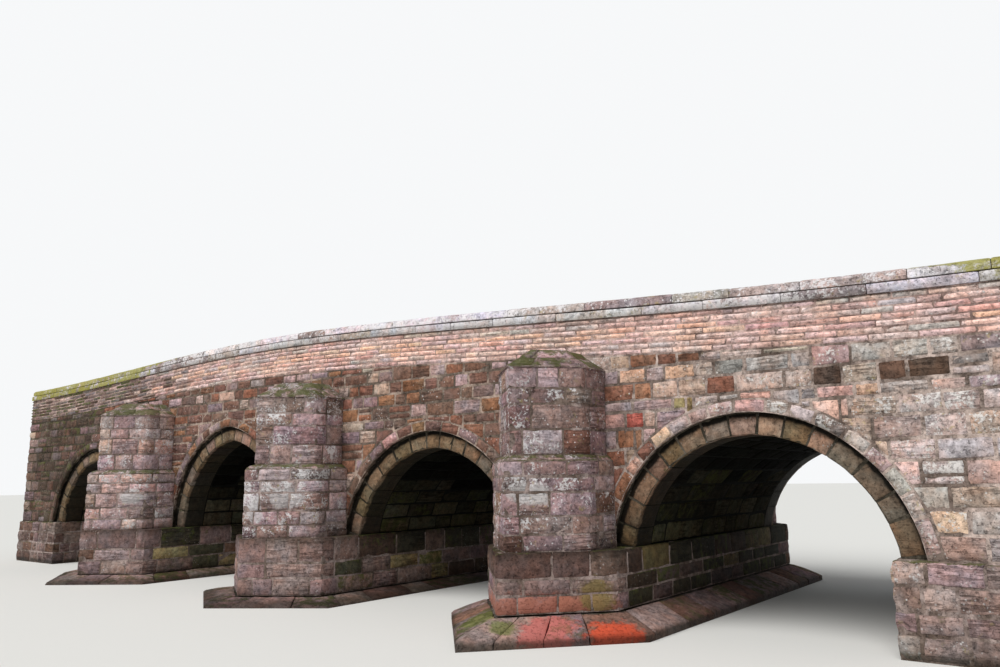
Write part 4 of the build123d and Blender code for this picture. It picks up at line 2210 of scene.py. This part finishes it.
@dataclass(frozen=True)
class SandstoneFinish:
    """Weathered sandstone whose colour, wear and painted shade come from the stones themselves.

    Attributes:
        name: Name of the material.
        crust: Colour of the lichen.
        speck: Colour of the yellow lichen.
        moss: Colour of the moss.
        beds: How strongly the stone's beds show.
        grime: How strongly dark patches show.
        edges: How dark the worn edges are.
        bump: Height of the relief in metres.
        rough: Roughness of dry stone.
        shine: Strength of its reflections.
        wet: Height under which the stone is dark and wet.
        inside: Distance from the bridge's middle where painted shade under the arch starts, 0 for none.
        stains: Patches of other colours.
    """

    name: str
    crust: Colour = (0.62, 0.60, 0.59)
    speck: Colour = (0.44, 0.36, 0.13)
    moss: Colour = (0.085, 0.095, 0.024)
    beds: float = 0.75
    grime: float = 0.35
    edges: float = 0.55
    bump: float = 0.011
    rough: float = 0.92
    shine: float = 0.2
    wet: float = 0.10
    inside: float = 0.0
    stains: tuple[Stain, ...] = ()

    def make(self, effects: Effects) -> Material:
        """Build the material.

        Args:
            effects: The shared weathering groups.

        Returns:
            The material.
        """
        coat = Coat(self.name)
        tint = coat.add("ShaderNodeAttribute", attribute_name="tint")
        wear_and_shade = coat.add("ShaderNodeAttribute", attribute_name="wear_and_shade")
        parts = coat.add("ShaderNodeSeparateColor", {0: wear_and_shade})
        damp, rim, age = parts[1], parts[2], wear_and_shade["Alpha"]
        spot, normal = coat.spot(), coat.normal()
        own = coat.vector("ADD", spot, coat.vector("MULTIPLY", tint, (41.0, 67.0, 53.0)))
        grain = coat.use(effects.grain, Place=own)
        beds = coat.use(effects.strata, Place=own)
        grime = coat.use(effects.grime, Place=spot)
        lichen = coat.use(effects.lichen, Place=spot, Amount=tint["Alpha"])
        growth = coat.use(effects.moss, Place=spot, Amount=parts[0], Normal=normal)
        age = age.ramp(0.25, 1.0, 0.15 * self.beds, self.beds)

        cast = coat.mix(grime["Warm"].ramp(0.35, 0.65), (0.94, 1.0, 1.05), (1.10, 0.98, 0.92))
        colour = tint.times(cast).times(grain["Shade"])
        colour = colour.shaded((1.0 - beds) * age, (0.42, 0.37, 0.34))
        worn = spot.noise(12.0, 3.0).ramp(0.35, 0.65, 0.05, self.edges)
        colour = colour.shaded(coat.calc("MINIMUM", rim, 1.0) * worn, (0.40, 0.35, 0.32))
        colour = colour.shaded(grime["Grime"] * self.grime, (0.30, 0.25, 0.22))
        for stain in self.stains:
            colour = stain.over(spot, colour)
        colour = colour.mix(lichen["Specks"] * 0.5, self.speck)
        colour = colour.mix(lichen["Crust"] * 0.85, self.crust)
        # Wet darkening, which also carries the painted shade of heads, feet and sheltered stones.
        colour = colour.shaded(damp * 0.85, (0.22, 0.21, 0.17))
        deep, bright = (tuple(c * k for c in self.moss) for k in (0.4, 1.7))
        green = coat.mix(growth["Tuft"], deep, bright)
        colour = colour.mix(growth["Moss"] * 0.85, green)
        colour = inner(spot, colour, self.inside)
        # Painted shadow under an overhang, with some dirt: a near-black band where the rim channel goes over
        # 1.
        black = (rim + spot.ragged(0.9, 9.0)).ramp(1.3, 1.9, 0.0, 0.97)
        colour = colour.shaded(black, (0.03, 0.032, 0.022))
        uneven = spot.axis(2) + spot.noise(3.0) * -0.10
        soaked = uneven.ramp(self.wet - 0.10, self.wet, 0.85, 0.0)
        colour = colour.shaded(soaked, (0.14, 0.15, 0.12))
        coat.put(Specular_IOR_Level=self.shine)
        coat.join(self.rough - damp * 0.15 - soaked * 0.35, coat.shader["Roughness"])
        height = grain["Height"] + beds * (age * 2.0) + lichen["Crust"] * 0.2
        height = height + growth["Moss"] * (growth["Tuft"] + 0.4)
        return coat.cover(colour, height, self.bump)


@dataclass(frozen=True)
class MortarFinish:
    """Gritty mortar, pale where it was pointed anew and dark where it has washed out.

    Attributes:
        name: Name of the material.
        pale: Its light colour.
        dull: Its dark colour.
        moss: How much moss grows on it, 0 to 1.
        fresh: Share of it that is pale, 0 to 1.
        inside: Distance from the bridge's middle where painted shade under the arch starts, 0 for none.
    """

    name: str
    pale: Colour = (0.46, 0.37, 0.33)
    dull: Colour = (0.17, 0.13, 0.11)
    moss: float = 0.1
    fresh: float = 0.5
    inside: float = 0.0

    def make(self, effects: Effects) -> Material:
        """Build the material.

        Args:
            effects: The shared weathering groups.

        Returns:
            The material.
        """
        coat = Coat(self.name)
        spot, normal = coat.spot(), coat.normal()
        grain = coat.use(effects.grain, Place=spot)
        grime = coat.use(effects.grime, Place=spot)
        lichen = coat.use(effects.lichen, Place=spot, Amount=0.45)
        growth = coat.use(effects.moss, Place=spot, Amount=self.moss, Normal=normal)
        middle = 0.68 - 0.36 * self.fresh
        blend = spot.noise(1.7, 5.0, 0.65).ramp(middle - 0.08, middle + 0.08)
        colour = coat.mix(blend, self.dull, self.pale).times(grain["Shade"])
        colour = colour.mix(lichen["Crust"] * (0.6 * self.fresh), (0.56, 0.54, 0.53))
        colour = colour.shaded(grime["Grime"] * 0.6, (0.28, 0.24, 0.21))
        colour = colour.mix(growth["Moss"] * 0.85, (0.07, 0.08, 0.024))
        colour = colour.shaded(spot.axis(2).ramp(0.0, 0.35, 0.7, 0.0), (0.2, 0.2, 0.16))
        colour = inner(spot, colour, self.inside)
        coat.put(Roughness=0.95, Specular_IOR_Level=0.1)
        return coat.cover(colour, grain["Height"], 0.008)


@dataclass(frozen=True)
class GravelFinish:
    """Rolled gravel of the road, worn in two tracks.

    Attributes:
        name: Name of the material.
        track: Half distance between the two tracks.
    """

    name: str
    track: float = 0.75

    def make(self, effects: Effects) -> Material:
        """Build the material.

        Args:
            effects: The shared weathering groups.

        Returns:
            The material.
        """
        coat = Coat(self.name)
        spot = coat.spot()
        grain = coat.use(effects.grain, Place=spot)
        pebbles = coat.add("ShaderNodeTexVoronoi", {"Vector": spot, "Scale": 30.0})
        one = coat.add("ShaderNodeSeparateColor", {0: pebbles["Color"]})
        colour = coat.mix(one, (0.22, 0.19, 0.16), (0.37, 0.32, 0.27))
        across = abs(spot.axis(1))
        worn = (abs(across - self.track) + spot.noise(2.0) * 0.3).ramp(0.2, 0.6, 1.0, 0.0)
        colour = colour.mix(worn, (0.42, 0.37, 0.32))
        side = (across + spot.noise(3.0) * 0.5).ramp(2.0, 2.7)
        colour = colour.mix(side * 0.8, (0.09, 0.10, 0.04)).times(grain["Shade"])
        height = pebbles.ramp(0.0, 0.6, 1.0, 0.0) * (1.3 - worn) + grain["Height"]
        coat.put(Roughness=0.95)
        return coat.cover(colour, height, 0.012, 0.9)


# Distances from the bridge's middle where the painted shade under the arches starts on walls and on rings
WALL_SHADE_FROM, RING_SHADE_FROM = 2.875, 2.75

PIER_STAINS = (
    Stain((5.6, -4.1, 0.25), (1.6, 1.2, 0.34), (0.44, 0.17, 0.115), 0.8),
    Stain((6.35, -3.75, 0.50), (0.22, 0.5, 0.30), (0.24, 0.18, 0.07), 0.85),
    Stain((5.68, -4.15, 1.80), (0.34, 0.35, 0.17), (0.62, 0.60, 0.60), 0.75),
    Stain((0.33, -3.94, 1.72), (0.38, 0.35, 0.20), (0.60, 0.57, 0.58), 0.7),
    Stain((-0.07, -4.28, 1.52), (0.16, 0.20, 0.24), (0.60, 0.58, 0.60), 0.7),
    Stain((-5.15, -3.75, 1.74), (0.32, 0.32, 0.18), (0.58, 0.56, 0.56), 0.7),
)
APRON_STAINS = (
    Stain((6.08, -4.42, 0.15), (0.36, 0.50, 0.4), (0.58, 0.17, 0.15), 0.9),
    Stain((6.83, -3.98, 0.15), (0.46, 0.46, 0.4), (0.62, 0.09, 0.04), 0.95),
    Stain((5.12, -4.48, 0.20), (0.34, 0.42, 0.3), (0.17, 0.19, 0.045), 0.8),
    Stain((5.62, -4.74, 0.15), (0.24, 0.20, 0.2), (0.15, 0.18, 0.045), 0.75),
)
SANDSTONES = {
    "weathered_sandstone": dict(crust=(0.74, 0.71, 0.69), beds=0.6, grime=0.5, inside=WALL_SHADE_FROM),
    "pier_sandstone": dict(crust=(0.78, 0.76, 0.77), grime=0.42, stains=PIER_STAINS),
    "ring_sandstone": dict(beds=0.3, grime=0.55, edges=0.4, bump=0.008, inside=RING_SHADE_FROM),
    # Vault stones: their near-black colour and their dark lichen and moss are painted shade.
    "shaded_vault_sandstone": dict(
        crust=(0.05, 0.055, 0.035), moss=(0.05, 0.052, 0.018), rough=0.95, shine=0.02
    ),
    "rock_faced_sandstone": dict(beds=0.35, grime=0.10, edges=0.15),
    "coping_sandstone": dict(crust=(0.80, 0.77, 0.79), moss=(0.30, 0.28, 0.04), beds=0.3, grime=0.5),
    "footing_sandstone": dict(beds=0.2, grime=0.4, edges=0.3, stains=APRON_STAINS),
}
MORTARS = {
    "pale_mortar": dict(inside=WALL_SHADE_FROM),
    "pink_mortar": dict(pale=(0.52, 0.38, 0.34), dull=(0.26, 0.18, 0.16)),
    "warm_mortar": dict(pale=(0.38, 0.29, 0.24), dull=(0.13, 0.10, 0.08), fresh=0.45, inside=WALL_SHADE_FROM),
    "dark_mortar": dict(
        pale=(0.17, 0.14, 0.11), dull=(0.06, 0.05, 0.035), moss=0.4, fresh=0.3, inside=WALL_SHADE_FROM
    ),
    "mossy_mortar": dict(pale=(0.34, 0.27, 0.25), dull=(0.16, 0.12, 0.10), moss=0.2),
    # Vault mortar: near-black painted shade.
    "shaded_vault_mortar": dict(pale=(0.012, 0.011, 0.009), dull=(0.006, 0.006, 0.005), moss=0.0, fresh=0.0),
    "ring_mortar": dict(pale=(0.10, 0.085, 0.065), dull=(0.035, 0.03, 0.022), fresh=0.4, inside=RING_SHADE_FROM),
}
# Starts of the names of the solids that have each finish; all others have pale mortar
UNDER_STONES = {
    "shaded_vault_mortar": ("vault",),
    "ring_mortar": ("arch_ring",),
    "road_gravel": ("road",),
    "mossy_mortar": ("pier", "abutment", "cutwater", "apron", "rubble"),
    "pink_mortar": ("parapet",),
    "dark_mortar": ("spandrel_front_1", "spandrel_back_1"),
    "warm_mortar": ("spandrel_front_2", "spandrel_back_2", "spandrel_front_3", "spandrel_back_3"),
}


def dress_solids(effects: Effects) -> None:
    """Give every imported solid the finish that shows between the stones.

    Args:
        effects: The shared weathering groups.
    """
    made = {name: MortarFinish(name, **values).make(effects) for name, values in MORTARS.items()}
    made["road_gravel"] = GravelFinish("road_gravel").make(effects)
    for name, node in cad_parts.items():
        found = (kind for kind, starts in UNDER_STONES.items() if name.startswith(starts))
        finish = next(found, "pale_mortar")
        node.data.materials.clear()
        node.data.materials.append(made[finish])


# Studio


@dataclass
class Studio:
    """Floor, light and camera.

    Attributes:
        eye: Place of the camera.
        heading: Angle of the view from the bridge's square face, in radians.
        pitch: Angle of the view over the level.
        roll: Lean of the camera.
        lens: Focal length in millimetres on a 36 mm sensor.
    """

    eye: tuple[float, float, float] = (11.888, -12.9, 1.985)
    heading: float = 0.652
    pitch: float = 0.181
    roll: float = -0.014
    lens: float = 28.8

    def build(self) -> None:
        """Set up the studio."""
        self.floor()
        self.sky()
        self.lamp("key_light", 3.0, (math.radians(40), 0.0, math.radians(-6)), 55)
        self.camera()
        bpy.context.scene.view_settings.view_transform = "Standard"

    def floor(self) -> None:
        """Lay the plain pale floor."""
        ground = primitive(bpy.ops.mesh.primitive_plane_add, "studio_floor", size=400, location=(0, 0, 0))
        coat = Coat("pale_floor")
        coat.put(Base_Color=(0.74, 0.74, 0.72, 1), Roughness=0.9)
        ground.data.materials.append(coat.material)

    def sky(self) -> None:
        """Light the scene evenly and show white behind it."""
        world = bpy.data.worlds.new("studio")
        bpy.context.scene.world = world
        world.use_nodes = True
        sheet = Sheet(world.node_tree)
        soft = world.node_tree.nodes["Background"]
        soft.inputs["Color"].default_value = (0.95, 0.98, 1.0, 1)
        soft.inputs["Strength"].default_value = 0.35
        white = sheet.add("ShaderNodeBackground", {"Color": (0.93, 0.94, 0.95, 1), "Strength": 1.0})
        seen = sheet.add("ShaderNodeLightPath")["Is Camera Ray"]
        mix = sheet.add("ShaderNodeMixShader", {0: seen, 1: Value(sheet, soft.outputs[0]), 2: white})
        sheet.join(mix, world.node_tree.nodes["World Output"].inputs["Surface"])

    @staticmethod
    def lamp(name: str, strength: float, turn: tuple[float, float, float], spread: float) -> None:
        """Add a broad distant lamp.

        Args:
            name: Its name.
            strength: Its strength.
            turn: Its rotation.
            spread: Its apparent width in degrees.
        """
        data = bpy.data.lights.new(name, "SUN")
        data.energy = strength
        data.angle = math.radians(spread)
        data.color = (1.0, 0.985, 0.96)
        light = bpy.data.objects.new(name, data)
        light.rotation_euler = turn
        bpy.context.scene.collection.objects.link(light)

    def camera(self) -> None:
        """Add the camera at the photograph's viewing angle."""
        level = np.array([math.cos(self.heading), math.sin(self.heading), 0.0])
        ahead = np.array([-math.sin(self.heading), math.cos(self.heading), 0.0])
        up = np.array([0.0, 0.0, 1.0])
        view = math.cos(self.pitch) * ahead + math.sin(self.pitch) * up
        over = -math.sin(self.pitch) * ahead + math.cos(self.pitch) * up
        right = math.cos(self.roll) * level + math.sin(self.roll) * over
        top = -math.sin(self.roll) * level + math.cos(self.roll) * over
        data = bpy.data.cameras.new("view")
        data.lens = self.lens
        data.sensor_width = 36
        data.clip_end = 500
        camera = bpy.data.objects.new("view", data)
        turn = Matrix(np.column_stack([right, top, -view]).tolist()).to_4x4()
        camera.matrix_world = Matrix.Translation(self.eye) @ turn
        bpy.context.scene.collection.objects.link(camera)
        bpy.context.scene.camera = camera


def main() -> None:
    """Build the stonework, the finishes and the studio."""
    logging.basicConfig(level=logging.INFO, format="%(message)s")
    shape = BridgeShape()
    effects = Effects()
    dress_solids(effects)
    yard = StoneYard()
    yard.open()
    squared, dark, ring, vault, rustic, coping, footing = (
        SandstoneFinish(name, **values).make(effects) for name, values in SANDSTONES.items()
    )
    mortar = MortarFinish("coping_mortar", (0.16, 0.13, 0.12), (0.05, 0.04, 0.035)).make(effects)
    spandrels = SpandrelWalls(shape, yard)
    spandrels.build(squared)
    EndWalls(shape, yard, spandrels).build(dark)
    Piers(shape, yard).build(dark)
    Cutwaters(shape, yard).build(dark)
    Rings(shape, yard).build(ring)
    Barrels(shape, yard).build(vault)
    Parapets(shape, yard).build(rustic)
    Copings(shape, yard).build(coping, mortar)
    Aprons(shape, yard).build(footing, mortar)
    Studio().build()


if __name__ == "__main__":
    main()
